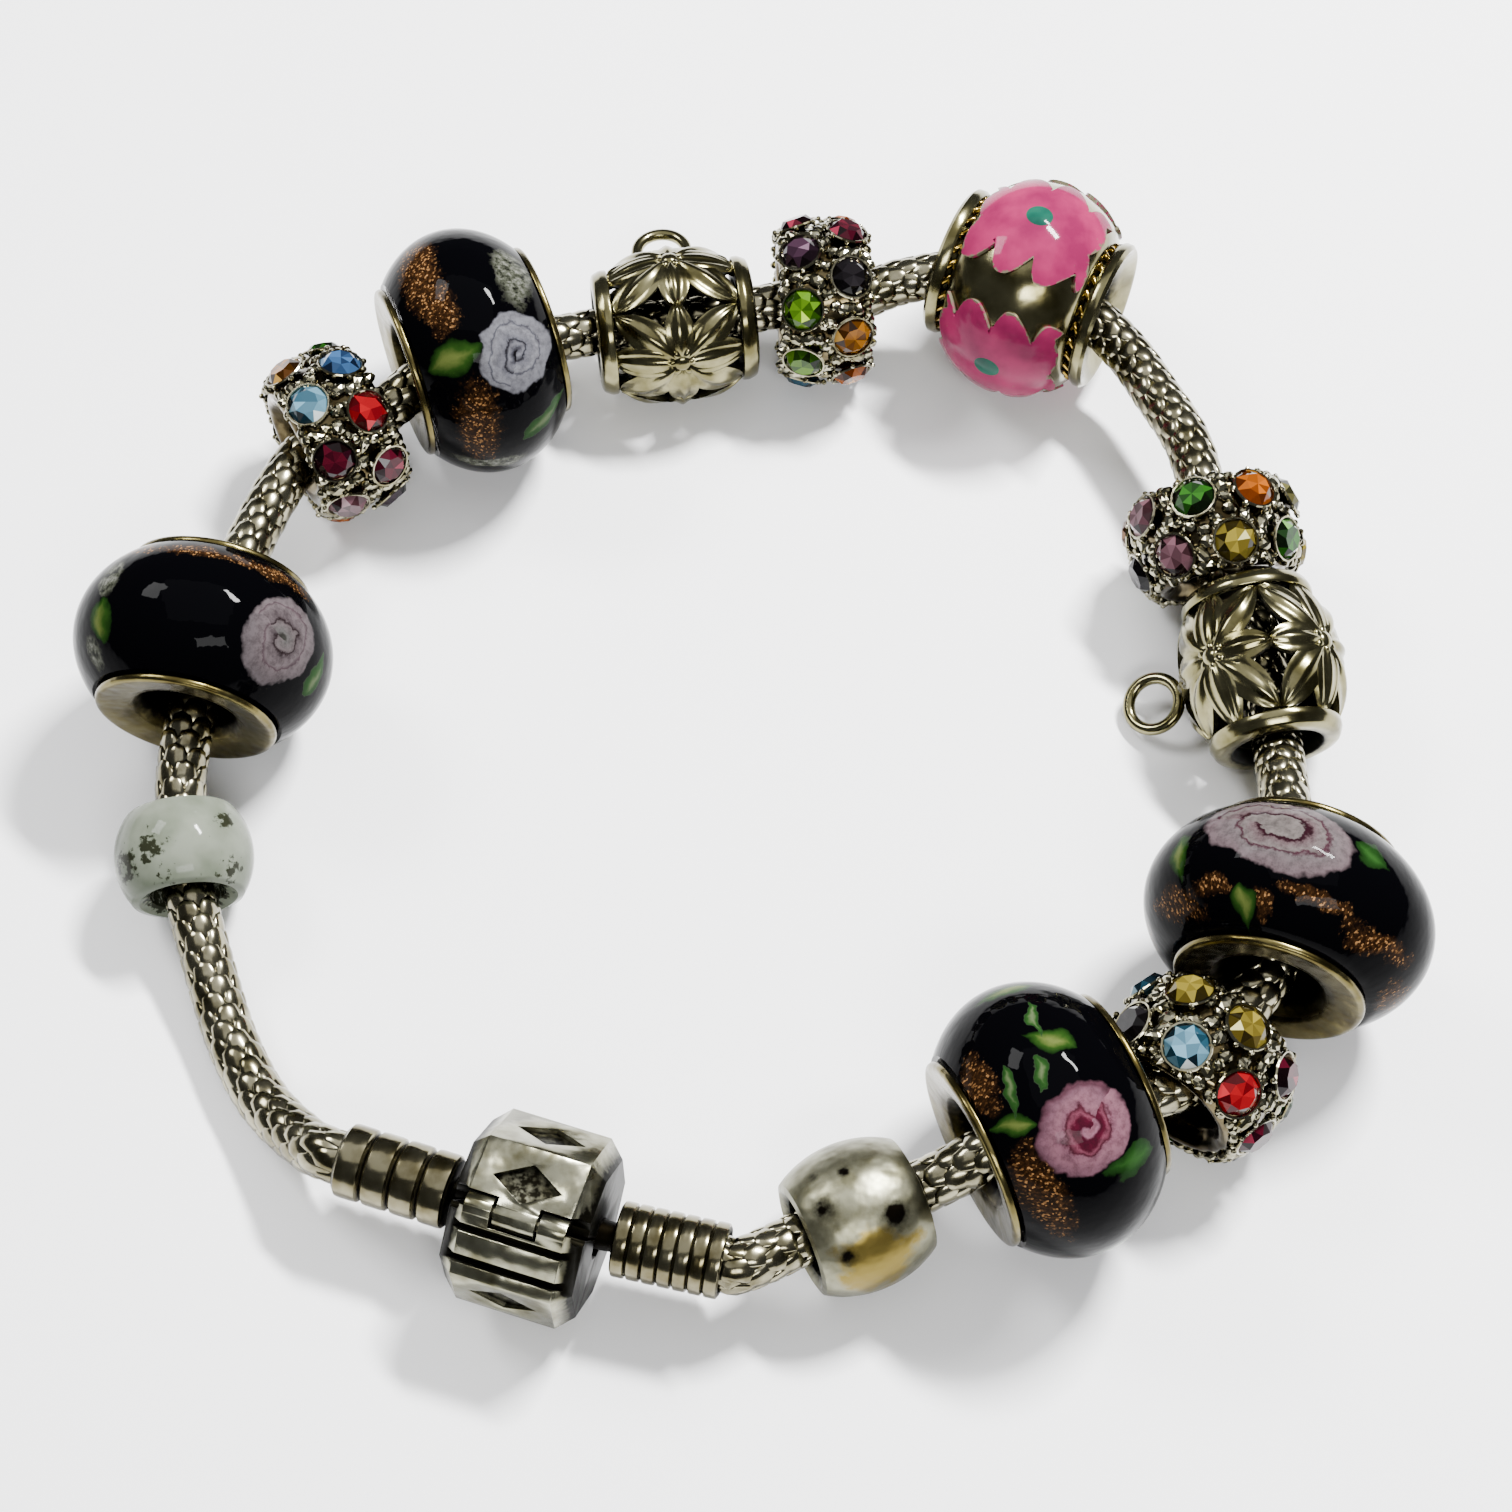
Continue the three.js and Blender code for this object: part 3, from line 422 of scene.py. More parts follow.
# %% Turning on a lathe
def rounded(outline, radius, steps=3):
    """Swaps each corner of a closed outline for a short curve."""
    points = [Vector(p) for p in outline]
    made = []
    for i, corner in enumerate(points):
        before = points[i - 1] - corner
        after = points[(i + 1) % len(points)] - corner
        start = corner + before.normalized() * min(radius, before.length * 0.45)
        stop = corner + after.normalized() * min(radius, after.length * 0.45)
        for k in range(steps + 1):
            t = k / steps
            made.append(start * (1 - t) ** 2 + corner * 2 * t * (1 - t) + stop * t ** 2)
    return made


def oval(along, radius, end_radius, reach):
    """Radius of an elliptical side that narrows from its middle to end_radius at its reach."""
    stretch = reach / math.sqrt(1 - (end_radius / radius) ** 2)
    return radius * math.sqrt(max(0.0, 1 - (along / stretch) ** 2))


def belly(radius, end_radius, reach, steps):
    """Half an elliptical side, from the near end to the far end of a bead."""
    alongs = [reach * (2 * i / steps - 1) for i in range(steps + 1)]
    return [(a, oval(a, radius, end_radius, reach)) for a in alongs]


def turned(name, outline, steps=64):
    """Spins a closed outline of (along, radius) points in millimetres about the bore."""
    piece = shaped("circle", vertices=len(outline), radius=MM)
    piece.name = name
    for vertex, (along, radius) in zip(piece.data.vertices, outline):
        vertex.co = (along * MM, 0, radius * MM)
    bpy.ops.object.mode_set(mode="EDIT")
    bpy.ops.mesh.select_all(action="SELECT")
    bpy.ops.mesh.spin(steps=steps, angle=2 * math.pi, center=(0, 0, 0), axis=(1, 0, 0))
    bpy.ops.mesh.select_all(action="SELECT")
    bpy.ops.mesh.remove_doubles(threshold=0.001 * MM)
    bpy.ops.mesh.normals_make_consistent(inside=False)
    bpy.ops.object.mode_set(mode="OBJECT")
    return smooth(piece, 40)


# %% [markdown]
# The glass beads are lampwork: a ring of black glass wound on a mandrel, with dots and pulled
# threads of coloured glass melted into its skin and a last gather of clear glass over all.
# The flowers and leaves are therefore flush, and are painted into the material and not
# modelled. The paint reads the unrolled UV map, whose unit is a millimetre, so a flower's size
# is its real size. A leaf is full near one end and pointed at the other, a rose is rings of
# petals wound as a spiral, and copper glitter and white lace are patches with a broken edge.

# %% Lampwork patterns
LEAF = ("#040a02", "#0b1d07", "#1b320f", "#475126")
PALE_LEAF = ("#2c3627", "#12290f", "#1a3414", "#414d33")
DARK_LEAF = ("#040b03", "#0c1f09", "#11290d", "#1d3a16")
LEAF_STOPS = (0.0, 0.15, 0.5, 0.95)
ROSE_WIND = 0.3 / (2 * math.pi)
ROSE_SHADE = "#120d0e"


def local(glass, skin, radius, angle, along, turn, length, width):
    """Coordinates that run from -1 to 1 over one motif on the bead's skin."""
    return node(glass, "Mapping", {
        "Vector": skin, "Location": (math.radians(angle) * radius, along, 0),
        "Rotation": (0, 0, math.radians(turn)), "Scale": (length / 2, width / 2, 1),
    }, vector_type="TEXTURE")


def leaf(glass, under, spot, tones):
    """A pulled drop of green glass: full near one end, pointed at the other."""
    x, y, _ = node(glass, "SeparateXYZ", {0: spot}).node.outputs
    swell = sum_of(glass, "MULTIPLY_ADD", x, -0.45, 1.0)
    swell = sum_of(glass, "MAXIMUM", swell, 0.2)
    width = sum_of(glass, "SUBTRACT", 1.0, sum_of(glass, "MULTIPLY", x, x))
    width = sum_of(glass, "MULTIPLY", width, swell)
    inside = sum_of(glass, "SUBTRACT", width, sum_of(glass, "ABSOLUTE", y))
    colour = ramp(glass, inside, list(zip(LEAF_STOPS, tones)))
    return lay(glass, under, colour, span(glass, inside, 0.0, 0.1))


def rose(glass, under, spot, stops, veil):
    """Rings of petals wound as a spiral, which the flame has drawn out unevenly."""
    reach = node(glass, "VectorMath", {0: spot}, "Value", operation="LENGTH")
    x, y, _ = node(glass, "SeparateXYZ", {0: spot}).node.outputs
    angle = sum_of(glass, "ARCTAN2", y, x)
    wound = sum_of(glass, "MULTIPLY_ADD", angle, ROSE_WIND, reach)
    wound = sum_of(glass, "MULTIPLY_ADD", veil, 0.2, wound)
    petals = ramp(glass, sum_of(glass, "SUBTRACT", wound, 0.1), stops)
    petals = lay(glass, linear(ROSE_SHADE), petals, span(glass, veil, 0.35, 0.6, 0.55))
    return lay(glass, under, petals, span(glass, reach, 1.0, 0.93))


def patch(glass, under, spot, colour, ragged, soft):
    """A patch with a broken edge: its reach is drawn in and out by a noise."""
    reach = node(glass, "VectorMath", {0: spot}, "Value", operation="LENGTH")
    reach = sum_of(glass, "MULTIPLY_ADD", ragged, 1.1, reach)
    return lay(glass, under, colour, span(glass, reach, 1.6, 1.6 - soft))


# Each motif: kind, angle round the bead, place along it, turn, length, width, colours. The
# last rows of each bead lie on the side that the photograph hides and repeat what it shows.
ROSE_GREY = [
    (0.0, "#272724"), (0.08, "#484645"), (0.3, "#4d4647"), (0.34, "#12090b"), (0.39, "#3e3739"),
    (0.6, "#51494b"), (0.66, "#3b3034"), (0.7, "#4f4749"), (1.0, "#474143")
]
ROSE_WHITE = [
    (0.0, "#09090c"), (0.1, "#39393f"), (0.22, "#5c5c62"), (0.3, "#101015"), (0.35, "#4f4f55"),
    (0.58, "#636368"), (0.63, "#37373d"), (0.68, "#5b5b60"), (1.0, "#55555a")
]
ROSE_PALE = [
    (0.0, "#4a4543"), (0.2, "#524c4a"), (0.3, "#57514f"), (0.33, "#1b0910"), (0.37, "#1f0c12"),
    (0.42, "#4d4042"), (0.6, "#57504f"), (0.64, "#2d151e"), (0.7, "#50494a"), (1.0, "#524649")
]
ROSE_PINK = [
    (0.0, "#6b4450"), (0.14, "#6f4a57"), (0.22, "#300a17"), (0.36, "#3a0c1b"), (0.44, "#5d303d"),
    (0.5, "#33101a"), (0.56, "#5f3e49"), (0.7, "#66454f"), (0.9, "#583c46"), (1.0, "#3c242c")
]
MOTIFS = {
    "glass_bead_1": [
        ("copper", 35, 2.95, 0, 5.0, 1.1), ("copper", 0, 2.95, 0, 6.0, 1.0),
        ("copper", -40, 2.9, 0, 7.0, 1.1), ("rose", -51, -0.75, 200, 4.8, 4.9, ROSE_GREY),
        ("leaf", -80, -1.2, 80, 2.6, 1.5, PALE_LEAF), ("white", 38, 0.95, 80, 2.4, 1.9),
        ("leaf", 39, -1.3, 92, 2.6, 1.9, LEAF), ("white", 48, -2.9, 60, 1.6, 1.5),
        ("copper", -100, 2.9, 0, 7.0, 1.1), ("copper", 90, 2.9, 0, 7.0, 1.1),
        ("rose", 125, -0.4, 80, 4.9, 4.7, ROSE_GREY), ("leaf", 88, -0.6, 95, 2.8, 1.6, LEAF),
        ("leaf", -150, -0.5, 85, 2.8, 1.6, LEAF),
    ],
    "glass_bead_2": [
        ("copper", 14, -2.1, 6, 8.0, 2.4), ("copper", -12, -1.95, 0, 4.0, 2.2),
        ("copper", -75, -1.65, 4, 6.6, 2.5), ("white", -4, 2.75, 10, 5.2, 2.3),
        ("rose", -44, 1.5, 30, 5.0, 4.5, ROSE_WHITE), ("leaf", -38, -1.9, 80, 3.2, 2.3, LEAF),
        ("leaf", -84, 2.2, 70, 3.4, 1.5, PALE_LEAF), ("white", -104, -1.2, 0, 1.4, 4.0),
        ("copper", 75, -1.9, 4, 7.0, 2.2), ("rose", 110, 1.1, 30, 5.0, 4.6, ROSE_WHITE),
        ("leaf", 150, -0.8, 80, 3.2, 2.0, LEAF), ("copper", -150, -1.7, -4, 7.0, 2.2),
    ],
    "glass_bead_3": [
        ("copper", -62, 2.7, 14, 5.0, 1.5), ("copper", -38, 2.3, 0, 3.0, 1.0),
        ("copper", -14, 2.9, 60, 1.7, 1.1), ("copper", 9, 2.15, 4, 5.4, 0.9),
        ("copper", 45, 2.5, -7, 6.0, 1.2), ("copper", 85, 3.0, -5, 5.0, 1.4),
        ("rose", -15, -0.9, 8, 8.6, 4.6, ROSE_PALE), ("leaf", -56, 0.7, 78, 3.0, 1.6, LEAF),
        ("leaf", -23, 3.0, 80, 2.1, 1.5, LEAF), ("leaf", 25, -1.1, 20, 2.4, 1.6, DARK_LEAF),
        ("copper", 140, 2.6, 6, 7.0, 1.4), ("copper", -120, 2.7, -5, 7.0, 1.4),
        ("rose", 150, -0.7, 0, 7.4, 4.4, ROSE_PALE), ("leaf", 95, -0.9, 100, 3.0, 1.7, LEAF),
        ("leaf", -110, -0.8, 80, 3.0, 1.7, LEAF),
    ],
    "glass_bead_4": [
        ("copper", -12, 3.35, 0, 4.4, 1.6), ("copper", 50, 2.75, -4, 7.0, 2.2),
        ("leaf", 1, 0.75, 20, 1.9, 0.7, PALE_LEAF), ("rose", 28, 0.0, 60, 4.9, 4.4, ROSE_PINK),
        ("leaf", -11, -0.4, 130, 2.6, 1.6, LEAF), ("leaf", 14, 3.0, 115, 2.5, 1.5, LEAF),
        ("leaf", 0, 2.3, 15, 3.2, 0.6, PALE_LEAF), ("leaf", -23, -0.4, 10, 2.6, 0.5, PALE_LEAF),
        ("leaf", -50, -0.1, 95, 3.4, 1.5, LEAF), ("leaf", 49, -1.6, 100, 3.3, 1.6, DARK_LEAF),
        ("copper", 130, 2.6, 4, 7.0, 2.0), ("copper", -110, 2.9, -4, 7.0, 1.8),
        ("rose", -160, -0.1, 60, 4.9, 4.5, ROSE_PINK), ("leaf", 100, -0.5, 95, 3.2, 1.6, LEAF),
        ("leaf", -115, -0.6, 85, 3.2, 1.6, LEAF),
    ],
}


def lampwork(bead):
    """Black soda glass under a clear skin: hardly rough, and slightly uneven from the flame."""
    radius = BEADS[bead]["radius"]
    glass = new_material("lampwork_" + bead, roughness=0.03, specular_ior_level=0.022)
    skin = node(glass, "UVMap", uv_map="unrolled")
    # The flame has pushed every outline about by up to half a millimetre.
    drift = node(glass, "VectorMath", {0: noise(glass, skin, 0.7, 3.0, "Color"),
                                       1: (0.5, 0.5, 0.5)}, operation="SUBTRACT")
    drift = node(glass, "VectorMath", {0: drift, 1: (1.3, 1.3, 0.0), 2: skin},
                 operation="MULTIPLY_ADD")
    # Copper glitter: flakes a tenth of a millimetre across; the few brightest ones are painted
    # glints.
    flakes = node(glass, "TexVoronoi", {"Vector": skin, "Scale": 10.0}, "Color")
    copper = ramp(glass, node(glass, "SeparateXYZ", {0: flakes}),
                  [(0.0, "#150c05"), (0.5, "#1f1208"), (0.84, "#33200f"), (0.97, "#86603a")])
    veil = noise(glass, skin, 2.2, 4.0, roughness=0.7)
    white = ramp(glass, veil, [(0.38, "#0b0c09"), (0.5, "#36382f"), (0.7, "#6c6c66")])
    colour = linear("#020203")
    for kind, angle, along, turn, length, width, *tones in MOTIFS[bead]:
        spot = local(glass, drift, radius, angle, along, turn, length, width)
        if kind == "leaf":
            colour = leaf(glass, colour, spot, *tones)
        elif kind == "rose":
            colour = rose(glass, colour, spot, *tones, veil)
        elif kind == "copper":
            colour = patch(glass, colour, spot, copper, veil, 0.5)
        else:
            colour = patch(glass, colour, spot, white, veil, 0.3)
    return shade(glass, base_color=colour,
                 normal=bump(glass, noise(glass, skin, 0.7, 2.0), 0.3, 0.12))


print("motifs painted:", sum(len(m) for m in MOTIFS.values()))

# %% [markdown]
# The glass ring and its metal core. The core is a silver tube whose two ends were spread over
# the glass as shallow funnels, so each cap is dished, and only its outer edge, where a
# burnisher ran, is bright. Inside the bore the silver has gone brown, and painted shade darkens
# it further.

# %% Glass beads and cores
GLASS_HALF = 3.85
GLASS_END_RADIUS = 5.15
THROAT = 2.92
FIT_GAP = 0.12
for number in (1, 2, 3, 4):
    bead = f"glass_bead_{number}"
    radius = BEADS[bead]["radius"]
    side = belly(radius, GLASS_END_RADIUS, GLASS_HALF, 28)
    inside = [(GLASS_HALF - 0.1, THROAT + FIT_GAP), (0.1 - GLASS_HALF, THROAT + FIT_GAP)]
    ring = turned(bead + "_glass", side + inside, 96)
    unroll(ring, radius)
    settle(ring, bead, lampwork(bead), "black_glass", bead)

    rim = GLASS_HALF + FIT_GAP
    funnel = [(rim, THROAT), (rim, 4.95), (rim + 0.32, 4.93), (rim + 0.42, 4.7), (rim + 0.36, 4.3),
              (rim + 0.22, 3.4), (rim + 0.05, 2.9), (rim - 0.5, 2.52)]
    outline = [(-a, r) for a, r in reversed(funnel)] + funnel
    core = turned(bead + "_core_silver", rounded(outline, 0.12), 72)
    # Towards the bore the core gets its brown film and painted shade.
    mark(core, lambda spot: (3.3 - around(spot)) * 1.1)
    settle(core, bead, burnished, "cap_silver", bead + "_core")
print("glass bead faces:", len(ring.data.polygons))

# %% [markdown]
# The snake chain is woven from bent wire bands, which show as rows of rounded scales, each row
# half a scale on from the last. One short length is modelled straight, an Array modifier
# repeats it, and a Curve modifier bends the lot along the chain's real route. That way the
# scales stay the same size and none is placed by hand. The route is the one of the solids.

# %% The chain's route
CHAIN_RADIUS = 1.36
THREADED_SHARE = 0.6
HALF_CLASP = 3.45
SOCKET_DEPTH = 3.2
COLLAR_LEAD = 0.8
LEFT_COLLAR = dict(near=HALF_CLASP + 0.75, length=6.0)
RIGHT_COLLAR = dict(pivot=-0.95, near=1.4 + 1.1 + 0.85, length=5.5, heading=-13)
# Length of each kind of bead and radius of its bore.
BORES = {"glass": (7.7, 2.5), "crystal": (5.4, 2.4), "openwork": (9.4, 2.3),
         "enamel": (10.1, 2.2), "ceramic": (4.9, 2.0), "silver": (6.2, 2.1)}
ROUTE = [
    (-22.9, -24.6, 3.3), (-25.2, -22.1, 1.9), (-26.85, -19.5, 1.6), (-28.3, -16.2, 1.8),
    ("ceramic_bead", 0, 0), (-31.0, -3.6, 5.0), ("glass_bead_1", 0, -0.8), (-28.2, 11.2, 5.9),
    (-26.75, 15.2, 5.7), ("crystal_rondelle_1", -0.7, 0.5), ("glass_bead_2", 0, -0.8),
    (-10.6, 25.4, 5.6), ("openwork_bead_1", 0, 0.5), ("crystal_rondelle_2", 0, 0), (9.0, 29.6, 5.5),
    ("enamel_bead", 0, -0.5), (21.6, 24.4, 5.6), (23.3, 21.2, 5.5), (24.9, 17.4, 5.6),
    ("crystal_rondelle_3", 0, -0.3), ("openwork_bead_2", 0, 0.3), (28.3, -5.2, 5.4),
    ("glass_bead_3", 0, -0.8), ("crystal_rondelle_4", 0, 0.9), ("glass_bead_4", 0, -0.6),
    (9.4, -27.1, 5.0), ("silver_bead", 0, 0.5),
]
clasp_frame = bead_matrix("clasp")
pivot = clasp_frame @ (Vector((RIGHT_COLLAR["pivot"], 0, 0)) * MM)
right_frame = Matrix.Translation(pivot) @ spun(RIGHT_COLLAR["heading"], "Z")
left_mouth = LEFT_COLLAR["near"] + LEFT_COLLAR["length"]
right_mouth = RIGHT_COLLAR["near"] + RIGHT_COLLAR["length"]
stops = (FIT_GAP - SOCKET_DEPTH, -COLLAR_LEAD / 2, COLLAR_LEAD)


def route_points():
    """The chain's knots in metres: into the left collar, through the beads, into the right one."""
    points = [clasp_frame @ (Vector((left_mouth + s, 0, 0)) * MM) for s in stops]
    for row in ROUTE:
        if isinstance(row[0], str):
            bead, side, ride = row
            length, bore = BORES[bead.split("_")[0]]
            play = bore - CHAIN_RADIUS - FIT_GAP
            for end in (-1, 1):
                spot = Vector((end * THREADED_SHARE * length / 2, side * play, ride * play))
                points.append(bead_matrix(bead) @ (spot * MM))
        else:
            points.append((Vector(row) + SHIFT) * MM)
    points += [right_frame @ (Vector((right_mouth + s, 0, 0)) * MM) for s in reversed(stops)]
    return points


def flowing(points, steps):
    """A Catmull-Rom curve through the points, with mirrored ends."""
    knots = [points[0] * 2 - points[1]] + points + [points[-1] * 2 - points[-2]]
    made = []
    for a, b, c, d in zip(knots, knots[1:], knots[2:], knots[3:]):
        for k in range(steps):
            t = k / steps
            made.append((b * 2 + (c - a) * t + (a * 2 - b * 5 + c * 4 - d) * t ** 2
                         + (b * 3 - a - c * 3 + d) * t ** 3) / 2)
    return made + [points[-1]]


path = flowing(route_points(), 10)
length = sum((b - a).length for a, b in zip(path, path[1:]))
print("chain length in mm:", round(length / MM, 1))

# %% One pitch of the weave
LINK_PITCH = 1.75
SCALES = 6
SCALE_SIZE = (1.04, 0.72, 0.32)
SCALE_LEAN = -9
TUBE_RADIUS = 1.08


def chain_pitch():
    """Two rows of scales on a dark tube: the length that the Array repeats."""
    parts = [shaped("cylinder", spun(90, "Y"), vertices=SCALES * 2, radius=TUBE_RADIUS * MM,
                    depth=LINK_PITCH * MM, end_fill_type="NOTHING")]
    for row in (0, 1):
        for k in range(SCALES):
            place = outward(360 * (k + row / 2) / SCALES, (row - 0.5) * LINK_PITCH / 2,
                            CHAIN_RADIUS - SCALE_SIZE[2])
            parts.append(shaped("uv_sphere", place @ spun(SCALE_LEAN, "Y") @ stretched(*SCALE_SIZE),
                                segments=8, ring_count=6, radius=MM))
    return joined(parts, "snake_chain_weave")


chain = chain_pitch()
# The tube and the undersides of the scales get dark film and painted shade, so the gaps read dark.
mark(chain, lambda spot: (CHAIN_RADIUS - 0.1 - around(spot)) * 4.5)
print("faces in one pitch:", len(chain.data.polygons))

# %% Repeat it and bend it along the route
spline_data = bpy.data.curves.new("chain_route", "CURVE")
spline_data.dimensions = "3D"
spline_data.twist_mode = "MINIMUM"
spline = spline_data.splines.new("POLY")
spline.points.add(len(path) - 1)
for point, spot in zip(spline.points, path):
    point.co = (*spot, 1)
route = bpy.data.objects.new("chain_route", spline_data)
bpy.context.scene.collection.objects.link(route)
pitches = round(length / MM / LINK_PITCH)
chain.data.transform(moved(LINK_PITCH / 2, 0, 0))
modified(chain, "ARRAY", use_relative_offset=False, use_constant_offset=True,
         constant_offset_displace=(length / pitches, 0, 0), count=pitches)
modified(chain, "CURVE", object=route)
bpy.data.objects.remove(route)
hand_over(smooth(chain), woven, "chain_silver", "snake_chain")
print("pitches:", pitches, "faces:", len(chain.data.polygons))

# %% [markdown]
# The two end collars are sleeves crimped on the chain. The left one has four broad bands, the
# right one seven fine rings. Both are turned, and the grooves keep their dark film with painted
# shade in it, which is what makes the bands read as separate.


# %% End collars
def banded(near, length, count, groove, radius, flat):
    """Outside of a banded sleeve: crests with narrow grooves between them."""
    pitch = length / count
    made = []
    for i in range(count):
        start = near + i * pitch
        for k in range(9):
            share = k / 8
            edge = abs(share * 2 - 1)
            dip = max(0.0, (edge - flat) / (1 - flat)) ** 2.2
            made.append((start + share * pitch * 0.998, radius - groove * dip))
    return made


COLLAR_RADIUS = 1.9
NECK = 0.75
SOCKET = CHAIN_RADIUS + FIT_GAP
for name, collar, bands, groove, flat in (
        ("left", LEFT_COLLAR, 4, 0.26, 0.62), ("right", RIGHT_COLLAR, 7, 0.2, 0.6)):
    near = collar["near"]
    far = near + collar["length"]
    outline = banded(near, collar["length"], bands, groove, COLLAR_RADIUS, flat)
    outline += [(far - 0.02, 1.56), (far - 0.12, SOCKET), (far - SOCKET_DEPTH, SOCKET)]
    if name == "left":
        outline += [(far - SOCKET_DEPTH, NECK + FIT_GAP), (near, NECK + FIT_GAP)]
    else:
        # The head and neck of the stud that the clasp traps.
        stud = [(0.0, 0.02), (0.02, 1.5), (0.35, 1.86), (0.7, 1.88), (1.1, 0.8),
                (near - 0.04, NECK)]
        outline = stud + outline + [(far - SOCKET_DEPTH, 0.02)]
    sleeve = turned(f"end_collar_{name}_sleeve", outline, 48)
    # Film and painted shade in the grooves between the bands.
    mark(sleeve, lambda spot: (COLLAR_RADIUS - 0.04 - around(spot)) * 4)
    sleeve.data.transform(clasp_frame if name == "left" else right_frame)
    hand_over(sleeve, banded_silver, "collar_silver", "end_collar_" + name)
print("collars end at", round(left_mouth, 2), "and", round(right_mouth, 2), "mm")

# %% [markdown]
# The crystal rondelles are cast drums. Two rows of round stones sit in them, the second row
# half a step on, and the casting between them is raised into grains and thin collars. A stone
# is cut, so it must have flat facets: a cone frustum gives table and crown, and a half-step
# twist of the table splits each crown side in two, as on a real brilliant. The table is split
# into wedges, because the facets of the back show through it. What sparkle a small stone has
# comes from light bounced inside it, which shows as facets of unlike brightness; that light is
# painted into the colour, as a share that an attribute gives every facet.

# %% Stones
STONE = dict(sides=8, girdle=1.2, table=0.72, crown=0.5, pavilion=0.5)


def choose(piece, wanted):
    """Leaves the piece in Edit mode with only the wanted faces selected."""
    bpy.ops.object.mode_set(mode="EDIT")
    bpy.ops.mesh.select_mode(type="FACE")
    bpy.ops.mesh.select_all(action="DESELECT")
    bpy.ops.object.mode_set(mode="OBJECT")
    for face in piece.data.polygons:
        face.select = wanted(face.normal.z)
    bpy.ops.object.mode_set(mode="EDIT")


def cut_stone():
    """A round stone, table up, with its girdle at the origin."""
    crown = STONE["crown"] * MM
    stone = shaped("cone", Matrix.Translation((0, 0, crown / 2)), vertices=STONE["sides"],
                   radius1=STONE["girdle"] * MM, radius2=STONE["table"] * MM, depth=crown)
    choose(stone, lambda up: up > 0.9)
    bpy.ops.transform.rotate(value=math.pi / STONE["sides"], orient_axis="Z",
                             center_override=(0, 0, crown))
    bpy.ops.mesh.poke(offset=0)
    choose(stone, lambda up: up < -0.9)
    back = (0, 0, -STONE["pavilion"] * MM)
    bpy.ops.mesh.extrude_region_move(TRANSFORM_OT_translate={"value": back})
    bpy.ops.mesh.merge(type="CENTER")
    bpy.ops.mesh.select_all(action="SELECT")
    bpy.ops.mesh.quads_convert_to_tris(quad_method="SHORTEST_DIAGONAL", ngon_method="BEAUTY")
    bpy.ops.object.mode_set(mode="OBJECT")
    return stone


def gem(name, deep, bright, spark):
    """Cut crystal with a foiled back: facets differ by how much light they return, painted into
    their colour.
    """
    crystal = new_material(name + "_crystal", roughness=0.02, specular_ior_level=0.15)
    stops = [(0.0, "#030202"), (0.3, deep), (0.78, bright), (1.0, spark)]
    return shade(crystal, base_color=ramp(crystal, attribute(crystal, "facet"), stops))


GEM_TONES = {
    "amber": ("#321b03", "#7b4c0d", "#a17b3b"), "sapphire": ("#0a1629", "#2b486b", "#66809d"),
    "aqua": ("#193542", "#597f90", "#b8c2c3"), "ruby": ("#3b0308", "#7d0a12", "#a6262e"),
    "garnet": ("#160208", "#3d0816", "#6e2233"), "amethyst": ("#10080e", "#2e1d29", "#5d4656"),
    "peridot": ("#193205", "#4c7210", "#a0c033"), "citrine": ("#3b320d", "#726626", "#b3ad73"),
    "tourmaline": ("#081d05", "#1e4d12", "#557b40"), "rose": ("#2e1a1e", "#62454d", "#937b80"),
    "olive": ("#262513", "#595533", "#8d8666"), "topaz": ("#481d03", "#86450a", "#b37b33"),
    "jet": ("#050405", "#161416", "#555255"),
}
GEMS = {name: gem(name, *tones) for name, tones in GEM_TONES.items()}
master = cut_stone()
print("facets on a stone:", len(master.data.polygons), "colours:", len(GEMS))

# %% [markdown]
# The stones of each rondelle, in order round the drum from its roll mark: first the row on
# the near side of the bore, then the other. Stones that the photograph hides repeat the
# colours that it shows. Each stone stands in a thin bezel with eight prongs, and nuggets fill
# the field between a stone, the next one and the other row.

# %% Rondelles
STONES = {
    "crystal_rondelle_1": ("amber tourmaline citrine peridot topaz rose garnet aqua",
                           "tourmaline amber jet citrine amethyst garnet ruby sapphire"),
    "crystal_rondelle_2": ("amethyst garnet tourmaline citrine rose aqua peridot peridot",
                           "garnet topaz olive citrine sapphire topaz amber jet"),
    "crystal_rondelle_3": ("topaz olive ruby aqua amethyst amber rose tourmaline",
                           "tourmaline citrine sapphire garnet peridot jet rose citrine"),
    "crystal_rondelle_4": ("citrine garnet tourmaline topaz amber olive aqua citrine",
                           "ruby garnet jet peridot rose sapphire jet aqua"),
}
RONDELLE = dict(half=2.7, drum=4.25, rim=3.5, row=1.42, lean=16, seat=4.44, per_row=8)
STONE_STEP = 360 / RONDELLE["per_row"]
PRONGS = 8
# How much light a facet returns, painted into its colour, as shares to draw from.
TABLE_SHARES = (0.35, 0.45, 0.6, 0.75)
CROWN_SHARES = (0.05, 0.15, 0.3, 0.45, 0.6)
# Nuggets beside each stone: degrees, along, reach, size.
NUGGETS = [(22.5, 1.75, 4.3, 0.48), (22.5, 1.15, 4.35, 0.42), (14, 2.42, 3.9, 0.38),
           (31, 2.42, 3.9, 0.38), (22.5, 2.3, 4.0, 0.4), (12, 0.1, 4.3, 0.4), (33, 0.2, 4.3, 0.4),
           (22.5, 0.5, 4.35, 0.44), (3, 2.5, 3.85, 0.36), (18, 1.5, 4.3, 0.3)]
bezel = shaped("torus", major_radius=1.24 * MM, minor_radius=0.09 * MM, major_segments=20,
               minor_segments=6)
grain = shaped("ico_sphere", subdivisions=2, radius=MM)


def seat(bead, row, k):
    """Matrix from the origin, Z outwards, to the girdle of one stone of a rondelle."""
    side = row * 2 - 1
    angle = BEADS[bead]["roll"] + STONE_STEP * (k + row / 2)
    return (outward(angle, side * RONDELLE["row"], RONDELLE["seat"])
            @ spun(RONDELLE["lean"] * side, "Y"))


